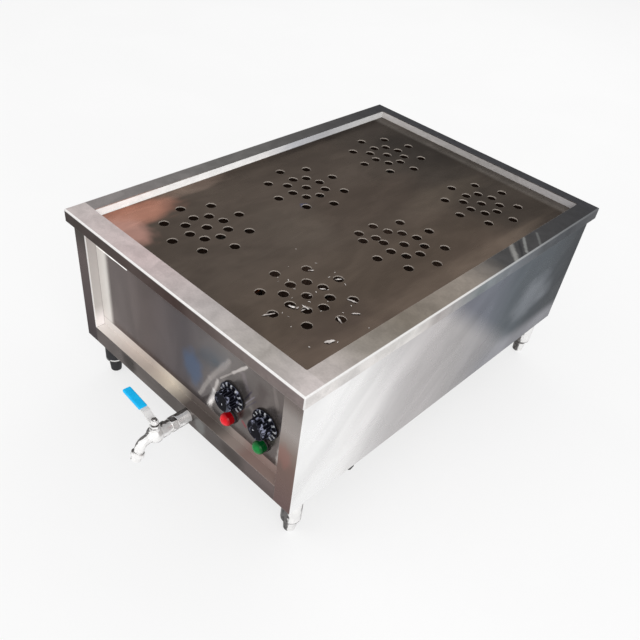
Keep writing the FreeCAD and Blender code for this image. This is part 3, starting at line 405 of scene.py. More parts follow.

# %% [markdown]
# The rim is brushed sheet. Its front strip runs the full width and the side strips butt against
# it. Each strip mirrors another part of its surroundings, and that reflection is painted into
# its own tones: pale at the control end, dark at the rear. The fold along the right edge gets a
# painted highlight that fades towards the rear. A ramp is written as its direction, its start and
# its end, and stops from 0 to 1 with a paint-chart colour each.

# %% Rim tones
top_ground = (Y, rim_low.y, rim_high.y, [
    (0.0, (190, 181, 178)), (0.09, (180, 172, 168)), (0.16, (150, 143, 135)),
    (0.28, (127, 119, 109)), (0.48, (150, 141, 132)), (0.6, (78, 77, 77)), (1.0, (63, 63, 65))])
front_strip = (X, rim_low.x, rim_high.x, [
    (0.0, (196, 187, 185)), (0.33, (200, 184, 183)), (0.62, (184, 177, 175)),
    (0.83, (164, 158, 153)), (1.0, (201, 192, 190))])
left_strip = (Y, rim_low.y, rim_high.y, [
    (0.0, (146, 140, 139)), (0.38, (113, 111, 109)), (0.8, (80, 79, 79)), (1.0, (62, 62, 64))])
skirt_front = (X, rim_low.x, rim_high.x, [
    (0.0, (80, 73, 71)), (0.35, (90, 79, 76)), (0.52, (77, 63, 60)), (0.8, (124, 114, 111)),
    (1.0, (138, 127, 125))])
skirt_right = (Y, rim_low.y, rim_high.y, [
    (0.0, (234, 230, 228)), (0.28, (236, 233, 230)), (0.36, (196, 190, 188)),
    (0.49, (146, 152, 155)), (0.62, (134, 138, 144)), (0.74, (102, 105, 109)),
    (0.86, (84, 87, 92)), (1.0, (106, 107, 109))])
right_fold_highlight = (Y, rim_low.y, rim_high.y, [
    (0.0, (250, 249, 248)), (0.45, (238, 236, 235)), (0.58, (196, 198, 199)),
    (0.8, (136, 138, 140)), (1.0, (116, 118, 120))])
print("stops along the rim", len(top_ground[3]))

# %% [markdown]
# The tones go on from the ground up: first the painted reflection streaks of the right strip,
# then the painted reflections of the other strips and of the skirt faces, then the clouds, and
# last the folds, which get a painted highlight.

# %% Rim finish
rim = Finish("brushed rim steel", top_ground)
# Painted reflection streaks on the right strip.
for start, end, width, tone in (
        ((262, 148), (298, 112), 8, (152, 151, 148)),
        ((264, 190), (294, 152), 5, (144, 145, 143)),
        ((266, 170), (298, 132), 4, (58, 58, 60)),
        ((270, 228), (296, 198), 4, (112, 113, 112))):
    ends = [Vector((x * MM, y * MM + middle_y, rim_high.z)) for x, y in (start, end)]
    rim.lay(rim.stroke(*ends, width * MM), tone, 0.8)
# Painted reflections on the strips and on the skirt faces, by the way each looks.
rim.lay(rim.band(X, rim_low.x - OVERSHOOT, tank_low.x + 0.004), left_strip)
rim.lay(rim.band(Y, tank_high.y - 0.004, rim_high.y + OVERSHOOT), (66, 66, 69))
rim.lay(rim.band(Y, rim_low.y - OVERSHOOT, tank_low.y + 0.002, 0.0004), front_strip)
rim.lay(rim.facing(-Y), skirt_front)
rim.lay(rim.facing(X), skirt_right)
rim.lay(rim.facing(-X), (112, 110, 110))
rim.vary(rim.cloud((34, 34, 34), low=0.3, high=0.7), 0.09)
rim.vary(rim.cloud((11, 11, 11)), 0.05)
front_face, right_face, top_face = (-Y, -rim_low.y), (X, rim_high.x), (Z, rim_high.z)
left_face, rear_face = (-X, -rim_low.x), (Y, rim_high.y)
# Painted highlights along the folds.
for one, other, width, tone, amount in (
        (front_face, top_face, 2.8, (250, 248, 247), 0.95),
        (right_face, top_face, 2.6, right_fold_highlight, 0.9),
        (front_face, right_face, 2.0, (246, 244, 243), 0.9),
        (left_face, top_face, 1.6, (200, 196, 194), 0.6),
        (rear_face, top_face, 1.6, (140, 138, 138), 0.6)):
    rim.lay(rim.fold(one, other, width * MM), tone, amount)
dress(rim.close(waves=(230, 520, 400), contrast=0.42, roughness=0.33, bump=0.05,
                edge=(236, 232, 230), edge_amount=0.3, edge_radius=0.001), "top_rim")

# %% [markdown]
# The steam plate is thin sheet with a half-mirror finish. Its dark brown ground is a painted
# reflection of dark surroundings, and soft patches of its surroundings are painted on as
# reflections: a warm one in the left front corner, a dark one at the rear, and a pale strip
# along the far edge. A patch is written as its place and its half sizes in millimetres, its
# colour and its strength.

# %% Plate tones
def on_plate(x, y):
    """Point on the plate, from millimetres to the right of and behind the rim's middle."""
    return Vector((x * MM, y * MM + middle_y, plate_high.z))


through_sheet = 0.1
plate_ground = (X, plate_low.x, plate_high.x, [
    (0.0, (82, 73, 66)), (0.5, (84, 75, 68)), (0.85, (88, 77, 68)), (1.0, (98, 85, 76))])
plate_reflection_patches = [
    ((-106, 331), (130, 120), (54, 49, 45), 0.7), ((-20, 60), (100, 220), (74, 64, 57), 0.5),
    ((60, 230), (50, 160), (98, 88, 78), 0.5), ((-40, -120), (120, 100), (94, 85, 77), 0.5),
    ((200, -270), (50, 120), (76, 66, 60), 0.5), ((238, 60), (30, 340), (110, 97, 86), 0.6),
    ((-238, -330), (55, 120), (176, 126, 108), 0.95),
    ((-196, -372), (70, 50), (178, 136, 124), 0.8),
    ((-256, -180), (30, 100), (128, 112, 102), 0.8), ((-76, -51), (14, 12), (64, 84, 130), 0.6)]
print("plate patches", len(plate_reflection_patches))

# %% [markdown]
# The plate needs few layers. The walls of the punched holes are all faces that don't look up:
# they are bare, dull and bright.

# %% Plate finish
plate = Finish("half mirror plate steel", plate_ground)
# Painted reflections: a dark band towards the rear, the soft patches and a pale far edge strip.
plate.lay(plate.band(Y, middle_y + 0.20, middle_y + 0.42, 0.06), (64, 58, 53), 0.8)
for at, (half_x, half_y), tone, amount in plate_reflection_patches:
    size = (half_x * MM, half_y * MM, through_sheet)
    plate.lay(plate.spot(on_plate(*at), size), tone, amount)
far_edge_reflection = plate.band(Y, plate_high.y - 0.026, plate_high.y + OVERSHOOT, 0.009)
plate.lay(far_edge_reflection, (126, 120, 114), 0.85)
plate.vary(plate.cloud((9, 5, 9)), 0.12)
plate.vary(plate.cloud((40, 14, 40)), 0.05)
plate.lay(plate.other(plate.facing(Z)), (204, 194, 184), dull=0.75)
dress(plate.close(waves=(300, 8, 300), contrast=0.12, roughness=0.24, edge=(200, 190, 180),
                  edge_amount=0.6, edge_radius=0.0006), "steam_plate")

# %% [markdown]
# The casing sides are the same sheet with less grain. The long right side has a painted
# reflection that runs from almost white at the control end to a blue grey at the rear, crossed
# by slanting soft bands of painted reflection, because the sheet is pulled by its folds and is
# not quite flat. Its front part gets a painted highlight with a faint glow. Its stile is a fold
# that looks forward, so it mirrors something else and its painted reflection has tones of its
# own. The faces that look inwards get painted shade.

# %% Right side
slant = Vector((0, 1, 1.3))
right_ground = (Y, side_low.y, side_high.y, [
    (0.0, (253, 253, 253)), (0.14, (250, 248, 247)), (0.26, (226, 223, 223)),
    (0.38, (210, 206, 206)), (0.5, (190, 187, 187)), (0.62, (182, 180, 182)),
    (0.8, (170, 172, 178)), (1.0, (164, 165, 171))])
dark_rear_reflection = (Y, side_low.y, side_high.y, [
    (0.35, (158, 158, 166)), (0.5, (132, 134, 144)), (0.6, (126, 130, 140)),
    (0.7, (110, 117, 124)), (0.84, (95, 101, 107)), (1.0, (73, 76, 80))])
right_stile = (Z, side_low.z, side_high.z, [
    (0.0, (117, 98, 96)), (0.38, (128, 108, 101)), (0.5, (142, 128, 121)),
    (0.64, (168, 160, 156)), (0.76, (158, 151, 147)), (0.85, (126, 117, 113)),
    (1.0, (112, 103, 100))])
right = Finish("satin casing steel right", right_ground)
# Painted reflection: darker blue grey towards the rear, a low strip and a pale spot.
right.lay(right.band(slant, middle_y + 0.39, middle_y + 2, 0.045), dark_rear_reflection)
low_reflection_strip = right.both(right.band(Y, middle_y + 0.12, middle_y + 0.5, 0.06),
                       right.band(Z, side_low.z - OVERSHOOT, side_low.z + 0.04, 0.02))
right.lay(low_reflection_strip, (174, 174, 180), 0.85)
pale_reflection_spot = right.spot((side_high.x, middle_y + 0.27, 0.225), (0.05, 0.10, 0.06))
right.lay(pale_reflection_spot, (140, 145, 152), 0.85)
# Painted highlight, with a faint glow, on the front part.
front_highlight = right.both(right.facing(X), right.band(Y, side_low.y - 0.5, middle_y - 0.26, 0.1))
right.lay(front_highlight, (250, 250, 250), 0.6, bounce=0.1)
# Slanting clouds of painted reflection.
right.vary(right.cloud((6, 3.2, 9), lean=-0.75), 0.08)
right.vary(right.cloud((20, 7, 26), lean=-0.9), 0.02)
# Painted reflection on the stile, with a warm spot.
right.lay(right.facing(-Y), right_stile)
warm_reflection_spot = right.spot((side_high.x - 0.026, front_y, 0.222), (0.022, 0.05, 0.035))
right.lay(warm_reflection_spot, (158, 116, 108), 0.5)
# Painted shade on the faces that look inwards.
right.lay(right.facing(-X), (110, 100, 97))
dress(right.close(waves=(160, 12, 160), contrast=0.04, roughness=0.24, bump=0.01,
                  edge=(200, 194, 192), edge_amount=0.3, edge_radius=0.001), "right_side")

# %% [markdown]
# The left side has the same form, with painted reflections along it and on its stile. Its recess
# wall stands next to the pale ledge and is ground dull, and the light that the ledge throws back
# is painted on it, with a faint glow, so it is palest at its foot. The fold between this wall and
# the stile gets a painted highlight.

# %% Left side
left_ground = (Y, side_low.y, side_high.y, [
    (0.0, (128, 126, 126)), (0.35, (172, 170, 170)), (0.6, (150, 150, 152)),
    (1.0, (132, 133, 137))])
left_stile = (Z, side_low.z, side_high.z, [
    (0.0, (82, 76, 77)), (0.35, (100, 90, 90)), (0.7, (108, 98, 97)), (0.85, (86, 81, 78)),
    (1.0, (64, 60, 58))])
recess_wall = (Z, side_low.z, side_high.z, [
    (0.0, (246, 242, 240)), (0.2, (222, 216, 214)), (0.3, (178, 173, 169)),
    (1.0, (164, 157, 154))])
left = Finish("satin casing steel left", left_ground)
# A slanting band and clouds of painted reflection, and the painted reflection of the stile.
left.lay(left.band(slant, middle_y + 0.1, middle_y + 0.36, 0.07), (188, 187, 188), 0.5)
left.vary(left.cloud((6, 3.2, 9), lean=-0.75), 0.10)
left.lay(left.facing(-Y), left_stile)
# Painted light, with a faint glow, on the recess wall.
in_recess = left.both(left.facing(X), left.band(Y, front_y - OVERSHOOT, panel_y + 0.001))
left.lay(in_recess, recess_wall, dull=0.7, bounce=0.38)
# Painted highlight along the fold of the stile.
stile_fold = left.fold((-Y, -front_y), (X, rail_low.x), 0.0018)
left.lay(left.both(stile_fold, left.band(Z, ledge_z, side_high.z, 0.004)), (246, 244, 242), 0.9)
dress(left.close(waves=(160, 12, 160), contrast=0.08, roughness=0.27, edge=(236, 232, 230),
                 edge_amount=0.4, edge_radius=0.001), "left_side")

# %% [markdown]
# The rear is one flat sheet with its grain across, so soft tones and clouds are enough.

# %% Rear panel
rear = Finish("satin casing steel rear", (X, -side_high.x, side_high.x, [
    (0.0, (150, 150, 152)), (0.4, (182, 181, 181)), (0.7, (148, 149, 152)),
    (1.0, (126, 128, 132))]))
rear.vary(rear.cloud((5, 6, 3)), 0.12)
dress(rear.close(waves=(12, 160, 160)), "rear_panel")

# %% [markdown]
# The bottom rail is cut between the two stiles and welded to them, so a dark line is left at
# both ends. Its ledge looks up and is ground dull, and painted light with a faint glow makes it
# pale, with painted reflections along it. Its face is dark, with soft spots of painted
# reflection.

# %% Rail finish
rail_face = (X, rail_low.x, rail_high.x, [
    (0.0, (112, 105, 103)), (0.3, (116, 110, 107)), (0.7, (102, 97, 95)), (1.0, (113, 101, 99))])
ledge_light_tones = (X, rail_low.x, rail_high.x, [
    (0.0, (216, 211, 207)), (0.2, (196, 185, 177)), (0.31, (178, 167, 158)),
    (0.43, (202, 192, 178)), (0.54, (92, 84, 80)), (0.66, (86, 78, 74)), (0.71, (104, 97, 92)),
    (0.76, (142, 131, 125)), (0.8, (144, 132, 126)), (0.84, (134, 114, 108)),
    (1.0, (142, 124, 118))])
rail_middle_z = 0.118
rail = Finish("satin rail steel", rail_face)
rail.vary(rail.cloud((9, 14, 14)), 0.12)
# Soft spots of painted reflection on the face.
for x, half_x, tone in ((-0.15, 0.03, (66, 63, 61)), (0.15, 0.04, (80, 75, 72)),
                        (0.062, 0.02, (140, 140, 138))):
    rail.lay(rail.spot((x, front_y, rail_middle_z), (half_x, 0.05, 0.03)), tone, 0.7)
# Painted light and reflections, with a faint glow, on the ledge.
rail.lay(rail.facing(Z), ledge_light_tones, dull=0.7, bounce=0.24)
for end in (rail_low.x, rail_high.x):
    rail.lay(rail.band(X, end - 0.001, end + 0.0008, 0.0003), (50, 44, 43), 0.8)
dress(rail.close(waves=(12, 160, 160), roughness=0.26, edge=(212, 205, 198),
                 edge_radius=0.0014), "front_rail")

# %% [markdown]
# The control panel is polished. Painted reflections give it upright soft streaks, a blue patch
# and a bent bright line round the first knob, as a slightly wavy mirror shows them, and painted
# shade gives it a dark zone below the skirt. Each stroke is written as its start and its end in
# millimetres to the right of the middle and above the floor, its half width, its colour and its
# strength.

# %% Panel tones
def on_panel(x, z):
    """Point on the panel, from millimetres to the right of the middle and above the floor."""
    return Vector((x * MM, panel_y, z * MM))


panel_ground = (X, panel_low.x, panel_high.x, [
    (0.0, (118, 109, 107)), (0.11, (114, 105, 103)), (0.3, (97, 87, 85)), (0.5, (90, 84, 86)),
    (0.7, (116, 111, 109)), (0.93, (112, 104, 101)), (1.0, (122, 112, 109))])
panel_reflection_strokes = [
    ((76, 215), (106, 280), 14, (136, 130, 128), 0.7),
    ((39, 172), (66, 228), 7, (156, 150, 147), 0.85),
    ((66, 228), (112, 300), 8, (160, 153, 150), 0.85),
    ((92, 248), (135, 297), 2.6, (180, 173, 169), 0.8),
    ((122, 282), (153, 317), 3.8, (204, 197, 193), 0.95),
    ((86, 238), (77, 204), 5.5, (206, 199, 195), 0.85),
    ((78, 206), (64, 162), 8.5, (242, 238, 236), 0.95),
    ((66, 160), (84, 150), 6, (190, 184, 180), 0.7),
    ((180, 250), (192, 296), 18, (88, 80, 78), 0.8),
    ((148, 204), (164, 226), 12, (68, 62, 60), 0.9),
    ((214, 318), (232, 262), 6, (132, 124, 121), 0.6),
    ((244, 304), (245, 262), 9, (84, 76, 73), 0.95),
    ((146, 296), (162, 264), 9, (140, 132, 134), 0.6),
    ((243, 228), (238, 160), 9, (196, 188, 183), 0.9),
    ((120, 345), (190, 330), 10, (128, 118, 115), 0.7),
    ((150, 242), (168, 276), 1.6, (74, 68, 84), 0.9),
    ((153, 236), (174, 268), 1.4, (142, 136, 146), 0.8),
    ((156, 230), (178, 262), 1.4, (70, 64, 80), 0.8),
    ((232, 236), (248, 268), 1.8, (84, 77, 90), 0.8),
    ((234, 228), (250, 256), 1.4, (138, 130, 134), 0.7),
    ((150, 192), (158, 186), 4, (150, 52, 64), 0.7)]
print("panel strokes", len(panel_reflection_strokes))

# %% [markdown]
# Close to the ledge and to the left stile the panel mirrors them, and these mirror images are
# painted on, with a faint glow. A mirror image reaches as far into a mirror as its object stands
# out from it, so the tones of the ledge run on up the panel by as much as the recess is deep,
# and the tones of the recess wall run on sideways. A painted glint runs along under the skirt,
# and a painted shadow line lies in the corner at the left stile.

# %% Panel finish
panel = Finish("polished panel steel", panel_ground)
# Painted shade below the skirt, and a painted blue reflection.
skirt_shade_zone = panel.spot(on_panel(-60, 345), (0.20, through_sheet, 0.035))
panel.lay(skirt_shade_zone, (80, 70, 68), 0.8)
blue_reflection_patch = panel.spot(on_panel(20, 220), (0.036, through_sheet, 0.05))
panel.lay(blue_reflection_patch, (84, 99, 124), 0.85)
panel.vary(panel.cloud((16, 16, 5)), 0.10)
# Painted reflection strokes.
for start, end, width, tone, amount in panel_reflection_strokes:
    panel.lay(panel.stroke(on_panel(*start), on_panel(*end), width * MM), tone, amount)
# Painted glint, with a glow, under the skirt.
skirt_glint = panel.stroke(on_panel(-256, 318.5), on_panel(-162, 319), 1.8 * MM)
panel.lay(skirt_glint, (246, 244, 242), bounce=0.6)
# Painted mirror images of the recess wall and of the ledge, with a faint glow.
mirrored_wall = panel.both(panel.band(X, rail_low.x - OVERSHOOT, rail_low.x + 0.031, 0.009),
                           panel.band(Z, ledge_z + recess, panel_high.z + OVERSHOOT, 0.004))
panel.lay(mirrored_wall, (212, 208, 203), 0.95, dull=0.5, bounce=0.3)
mirrored_ledge = panel.band(Z, ledge_z - OVERSHOOT, ledge_z + recess, 0.0016)
panel.lay(mirrored_ledge, ledge_light_tones, 0.95, dull=0.6, bounce=0.32)
# Painted shadow line in the corner at the left stile.
corner_shadow_line = panel.band(X, rail_low.x - 0.002, rail_low.x + 0.0012, 0.0004)
panel.lay(corner_shadow_line, (60, 56, 55), 0.8)
dress(panel.close(waves=(120, 120, 8), contrast=0.07, roughness=0.17, metallic=0.7,
                  edge_amount=0.3, patchy=0.05), "control_panel")

# %% [markdown]
# The tank's upper edge shows round the plate. It is ground dull after welding, so it scatters
# the light, and that light is painted on: the left wall is painted as the brightest thing on the
# whole part, with a faint glow, the rear wall is softer. Below the plate the tank is darker
# brown, with a very faint painted glow.

# %% Tank finish
left_wall = (Y, tank_low.y, tank_high.y, [
    (0.0, (252, 251, 250)), (0.42, (250, 249, 248)), (0.52, (236, 234, 233)),
    (0.62, (200, 201, 206)), (0.75, (184, 184, 186)), (0.88, (204, 204, 204)),
    (1.0, (204, 203, 202))])
rear_wall = (X, tank_low.x, tank_high.x, [
    (0.0, (226, 222, 220)), (0.5, (188, 184, 182)), (1.0, (200, 197, 198))])
tank = Finish("satin tank steel", (110, 106, 102))
shown = tank.band(Z, plate_high.z - 0.004, tank_high.z + OVERSHOOT)
# Painted light on the left wall, with a faint glow, and on the rear wall.
tank.lay(tank.both(tank.facing(X), shown), left_wall, dull=0.9, bounce=0.3)
tank.lay(tank.both(tank.facing(-Y), shown), rear_wall, dull=0.8)
# Darker brown below the plate, with a very faint painted glow.
below_plate = tank.band(Z, tank_low.z - OVERSHOOT, plate_low.z)
tank.lay(below_plate, (96, 78, 68), bounce=0.05)
tank.vary(tank.cloud((40, 40, 90)), 0.06)
dress(tank.close(waves=(60, 60, 240), contrast=0.12, roughness=0.32, edge_amount=0.2),
      "water_tank")

# %% [markdown]
# What lies inside is plain sheet that nobody polishes, with grain in no direction.

# %% Inner pieces
inner = Finish("plain inner steel", (116, 112, 108))
inner.vary(inner.cloud((20, 20, 20)), 0.12)
dress(inner.close(waves=(90, 90, 90), contrast=0.2, roughness=0.36),
      "plate_ledges", "plate_crossbars", "base_panel", "sensor_clips", "heater_supports",
      "thermostat_left", "thermostat_right")

# %% [markdown]
# Turned and cast fittings are polished and small, so they show hard light and dark. Under even
# light a mirror looks flat, so painted shade follows the piece's own normal instead: faces that
# look to the upper left are painted dark, with a ragged edge and darker spots, faces that look
# under get a painted dark line, and all others are painted bright and a little dull.

# %% Bright metal finish
def bright_metal(name, light, dark, away, roughness=0.16, low=0.45, high=0.75, dull=0.45,
                 waves=(110, 110, 110), edge_wear_and_glint=0.4, under=(0.82, 0, -0.57), lines=()):
    """Light metal with painted shade where its faces look away or under. Low and high say how
    sharply the painted shade begins. A line is a dark band (direction, start, end)."""
    metal = Finish(name, light)
    normal = metal.where["Normal"]
    ragged = metal.cloud(waves, low=0.3, high=0.7)
    # Painted shade on faces that look away, with darker spots, and a painted dark line under.
    turned = calc(metal.tree, "ADD", dot(metal.tree, normal, away), metal.both(ragged, 0.35))
    shade = step(metal.tree, turned, low, high)
    metal.lay(metal.other(shade), light, dull=dull)
    metal.lay(shade, dark, dull=dull)
    shade_spots = metal.cloud([1.7 * wave for wave in waves], low=0.5, high=0.6)
    metal.lay(metal.both(shade, shade_spots), [0.5 * value for value in dark], 0.85)
    below = dot(metal.tree, normal, under)
    below = calc(metal.tree, "SUBTRACT", below, metal.both(ragged, 0.12))
    metal.lay(step(metal.tree, below, 0.82, 0.93), dark, 0.9)
    for direction, start, end in lines:
        metal.lay(metal.band(direction, start, end, 0.0005), dark, 0.9)
    metal.vary(ragged, 0.05)
    return metal.close(waves=(800, 800, 800), contrast=0.08, roughness=roughness,
                       edge=(250, 249, 247), edge_amount=edge_wear_and_glint, edge_radius=0.0006)


print("bright metal ready")

# %% [markdown]
# The tap is plated and the legs are polished tube. Between a leg and its foot there is a gap,
# whose two edges are dark lines. One leg and its foot are almost black.

# %% Tap and legs
# Painted shade on the faces that look away, as on all bright metal.
dress(bright_metal("plated tap metal", (250, 249, 248), (112, 109, 107), (-0.82, 0.1, 0.57),
                   low=0.56, high=0.76),
      "tap_inlet", "tap_body", "tap_ball", "tap_stem", "tap_gland_nut", "lever_nut",
      "nozzle_ring", "outlet_socket")
dress(bright_metal("pressed lever steel", (252, 251, 250), (200, 198, 197), (-0.8, 0.3, -0.2),
                   0.3, dull=0.6), "tap_lever")
shaded_side = Vector((-0.78, -0.63, 0))
gap_edges = [(Z, 0.031, 0.0345), (Z, 0.0245, 0.028)]
bright_legs = [kind + corner for kind in ("leg_", "foot_")
               for corner in ("front_right", "rear_left", "rear_right")]
dress(bright_metal("bright leg tube", (246, 245, 244), (104, 101, 100), shaded_side, 0.22,
                   0.3, 0.55, waves=(90, 90, 50), under=-shaded_side, lines=gap_edges),
      *bright_legs, "leg_bushes")
dress(bright_metal("dark leg tube", (58, 58, 60), (20, 20, 22), (-0.7, 0.3, 0.1), 0.35,
                   dull=0.2, edge_wear_and_glint=0.1), "leg_front_left", "foot_front_left")

# %% [markdown]
# The small fittings differ only in their metal, so one list serves them all: light colour,
# colour of the painted shade, the way the shaded faces look, roughness, and the nodes.

# %% Small fittings
small_fittings = [
    ("drawn pipe", (190, 184, 176), (90, 86, 82), (-0.6, 0.3, 0.5), 0.3,
     ["drain_drop", "drain_elbow", "drain_run"]),
    ("zinc screw", (196, 196, 198), (96, 96, 100), (-0.5, 0.3, 0.5), 0.3,
     ["base_screws", "thermostat_screws", "thermostat_shaft_left", "thermostat_shaft_right"]),
    ("machined brass", (214, 176, 104), (116, 86, 44), (-0.5, 0.3, 0.5), 0.25,
     ["sensor_glands", "heater_nuts", "earth_stud"]),
    ("drawn copper", (206, 136, 100), (110, 62, 42), (-0.5, 0.3, 0.5), 0.25,
     ["sensor_left", "sensor_right"])]
for name, light, dark, away, roughness, nodes in small_fittings:
    dress(bright_metal(name, light, dark, away, roughness), *nodes)
dress(bright_metal("oxidised heater tube", (104, 98, 92), (42, 38, 36), (0, 0, -1), 0.45,
                   edge_wear_and_glint=0.1), "heater_left", "heater_right")

# %% [markdown]
# Plastics and rubber are not metal: their colour is in the body, and the skin gives the shine.
# The colour drifts slightly, the edges take another tone from rubbing and a painted glint, and a
# fine noise scuffs the skin. A glow, where one is given, is painted light.

# %% Moulded finish
def moulded(name, colour, shade, roughness=0.4, gloss=0.5, edge_wear_and_glint=(200, 200, 200), worn_and_glinting=0.15,
            glow=0.0, bump=0.08, edge_radius=0.0006, patch=None, rim_shade=None):
    """Plastic or rubber. A patch (direction, tone, limits) lays uneven painted glints on the faces
    that look one way. The rim shade is painted shade on all faces that don't look to the front."""
    body = Finish(name, colour)
    body.lay(body.cloud((60, 60, 60), low=0.3, high=0.7), shade)
    if patch:
        direction, tone, (low, high) = patch
        glints = body.cloud((115, 115, 60), low=low, high=high)
        body.lay(body.both(body.facing(direction), glints), tone, 0.8)
    if rim_shade:
        body.lay(body.other(body.facing(-Y)), rim_shade)
    material = body.close(waves=(300, 300, 300), roughness=roughness, metallic=0.0, bump=bump,
                          edge=edge_wear_and_glint, edge_amount=worn_and_glinting, edge_radius=edge_radius)
    body.fix("Specular IOR Level", gloss)
    if glow:
        body.feed("Emission Color", body.colour)
        body.fix("Emission Strength", glow)
    return material


print("moulded finish ready")

# %% [markdown]
# The knobs are black, with rubbed edges that carry a painted glint, and uneven painted glints on
# the faces that look up and forward. A lens gets a painted glow, which stands for light that goes
# in at its front and comes back from its inside, and painted shade on its rim. The lever's sleeve
# is dipped, and it gets a painted glow as well.

# %% Knobs, lamps and sleeve
# Painted glints on the knobs' edges and upper faces.
dress(moulded("knob moulding", (10, 10, 16), (18, 18, 26), 0.3, 0.02, edge_wear_and_glint=(150, 154, 176),
              worn_and_glinting=0.45, edge_radius=0.0009,
              patch=((0.5, -0.5, 0.7), (172, 176, 200), (0.55, 0.6))), "knob_left", "knob_right")
dress(moulded("lamp bezel moulding", (30, 22, 24), (40, 32, 34), 0.4, 0.3),
      "lamp_bezels", "lamp_bodies", "lamp_nuts")
# Painted glow in each lens, and painted shade on its rim.
for colour_name, colour, shade, edge_wear_and_glint, glow, rim_shade in (
        ("red", (204, 3, 16), (226, 30, 44), (240, 60, 70), 0.16, (140, 0, 10)),
        ("green", (0, 98, 36), (14, 126, 56), (40, 170, 90), 0.14, (0, 66, 26))):
    lens = moulded(colour_name + " lens", colour, shade, 0.12, 0.2, edge_wear_and_glint, 0.3, glow,
                   rim_shade=rim_shade)
    dress(lens, colour_name + "_lens")
# Painted glow in the sleeve.
dress(moulded("dipped sleeve", (6, 182, 244), (16, 192, 250), 0.5, 0.3, edge_wear_and_glint=(4, 138, 172),
              worn_and_glinting=0.8, glow=0.12, edge_radius=0.0014), "lever_sleeve")

# %% [markdown]
# The last plastics are small or out of sight, so a slight drift of colour is enough for them.

# %% Other plastics and rubber
for name, colour, shade, roughness, nodes in (
        ("seat plastic", (232, 230, 224), (220, 218, 210), 0.5, ["tap_seats"]),
        ("terminal moulding", (214, 204, 180), (200, 190, 164), 0.5,
         ["terminal_block", "heater_terminals"]),
        ("wire cover", (120, 58, 34), (100, 46, 28), 0.45, ["internal_wires"])):
    dress(moulded(name, colour, shade, roughness), *nodes)
dress(moulded("gland rubber", (26, 25, 25), (36, 34, 34), 0.6, 0.3, bump=0.2), "cord_gland")

# %% [markdown]
# A few small pieces are not in the construction model, so they are built here as meshes. One
# helper closes an edit mesh, one builds the wall between two rings of vertices, and one joins
# many meshes, so that all numbers of a knob are a single piece. `add_piece` gives a piece its
# finish and says which moving body carries it.

# %% Helpers for added pieces
def show(name, data):
    thing = bpy.data.objects.new(name, data)
    bpy.context.scene.collection.objects.link(thing)
    return thing


def closed(name, build, smooth=False):
    mesh = bpy.data.meshes.new(name)
    build.to_mesh(mesh)
    build.free()
    if smooth:
        for face in mesh.polygons:
            face.use_smooth = True
    return mesh


def wall(build, first, second):
    for this in range(len(first)):
        following = (this + 1) % len(first)
        build.faces.new((first[this], first[following], second[following], second[this]))


def joined(meshes):
    whole = bmesh.new()
    for mesh in meshes:
        whole.from_mesh(mesh)
    return closed("joined", whole)


def add_piece(name, mesh, material, body):
    piece = show(name, mesh)
    mesh.materials.clear()
    mesh.materials.append(material)
    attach(piece, body)
    print(name, "on", body, "with", len(mesh.polygons), "faces")
    return piece


print("helpers for pieces ready")

# %% [markdown]
# The knobs carry plain numbers round their flange, written along the radius. Each number is a
# text curve turned into a mesh and laid on to the flange: the distance along the text becomes
# the radius, and the slope of the flange near its edge sets the depth.

# %% Numbers on the knobs
marking = moulded("marking ink", (226, 228, 232), (206, 210, 218), 0.5, worn_and_glinting=0.0)
grip_radius = 19.5 * MM
flange_radius = 28.0 * MM
flange_flat = flange_radius - 3 * MM
flange_depth = 2.5 * MM
flange_fall = 1.0 * MM
number_size = 5.0 * MM
number_gap = 0.7 * MM
number_room = flange_radius - grip_radius - 1.2 * MM
number_count = 10
number_step = 30
first_angle = 196
angle_step = 27
ink = 0.12 * MM


def number_mesh(words):
    curve = bpy.data.curves.new("number", "FONT")
    curve.body = words
    curve.size = number_size
    curve.align_y = "CENTER"
    curve.offset = 0.02 * number_size
    curve.extrude = ink
    holder = show("number", curve)
    mesh = bpy.data.meshes.new_from_object(holder)
    bpy.data.objects.remove(holder)
    return mesh


def number_on_flange(words, centre, angle):
    mesh = number_mesh(words)
    outward = Vector((math.cos(angle), 0, math.sin(angle)))
    upright = Vector((-math.sin(angle), 0, math.cos(angle)))
    longest = max(vertex.co.x for vertex in mesh.vertices)
    squeeze = min(1.0, number_room / longest)
    for vertex in mesh.vertices:
        radius = grip_radius + number_gap + vertex.co.x * squeeze
        past_flat = max(0.0, (radius - flange_flat) / (flange_radius - flange_flat))
        depth = past_flat * flange_fall - flange_depth - vertex.co.z - ink * 0.6
        vertex.co = centre + outward * radius + upright * vertex.co.y + Y * depth
    return mesh


def numbers_round(centre):
    numbers = []
    for count in range(number_count):
        angle = math.radians(first_angle - count * angle_step)
        numbers.append(number_on_flange(str(number_step * (count + 1)), centre, angle))
    return joined(numbers)


print("numbers from", number_step, "to", number_step * number_count)

# %% [markdown]
# A small white dash on the front of the grip serves both as a pointer and as a painted highlight
# on the grip's front. It lies a little off the middle and is a flat oval, lengthwise along the
# line from the middle to itself.

# %% Pointer dash
dash_half_length = 2.0 * MM
dash_half_width = 0.9 * MM
dash_points = 16


def pointer_and_glint_dash(centre, along):
    aside = Vector((-along.z, 0, along.x))
    outline = []
    for point in range(dash_points):
        angle = 2 * math.pi * point / dash_points
        outline.append(centre + along * dash_half_length * math.cos(angle)
                       + aside * dash_half_width * math.sin(angle))
    build = bmesh.new()
    front = [build.verts.new(place) for place in outline]
    back = [build.verts.new(place + Y * ink * 1.5) for place in outline]
    build.faces.new(front)
    build.faces.new(list(reversed(back)))
    wall(build, back, front)
    return closed("dash", build)


print("pointer and glint dash ready")

# %% [markdown]
# Both knobs are the same and only their dashes point another way, so a loop marks them. The
# numbers lie on the flange, which is the rear of the knob, and the dash on its front.

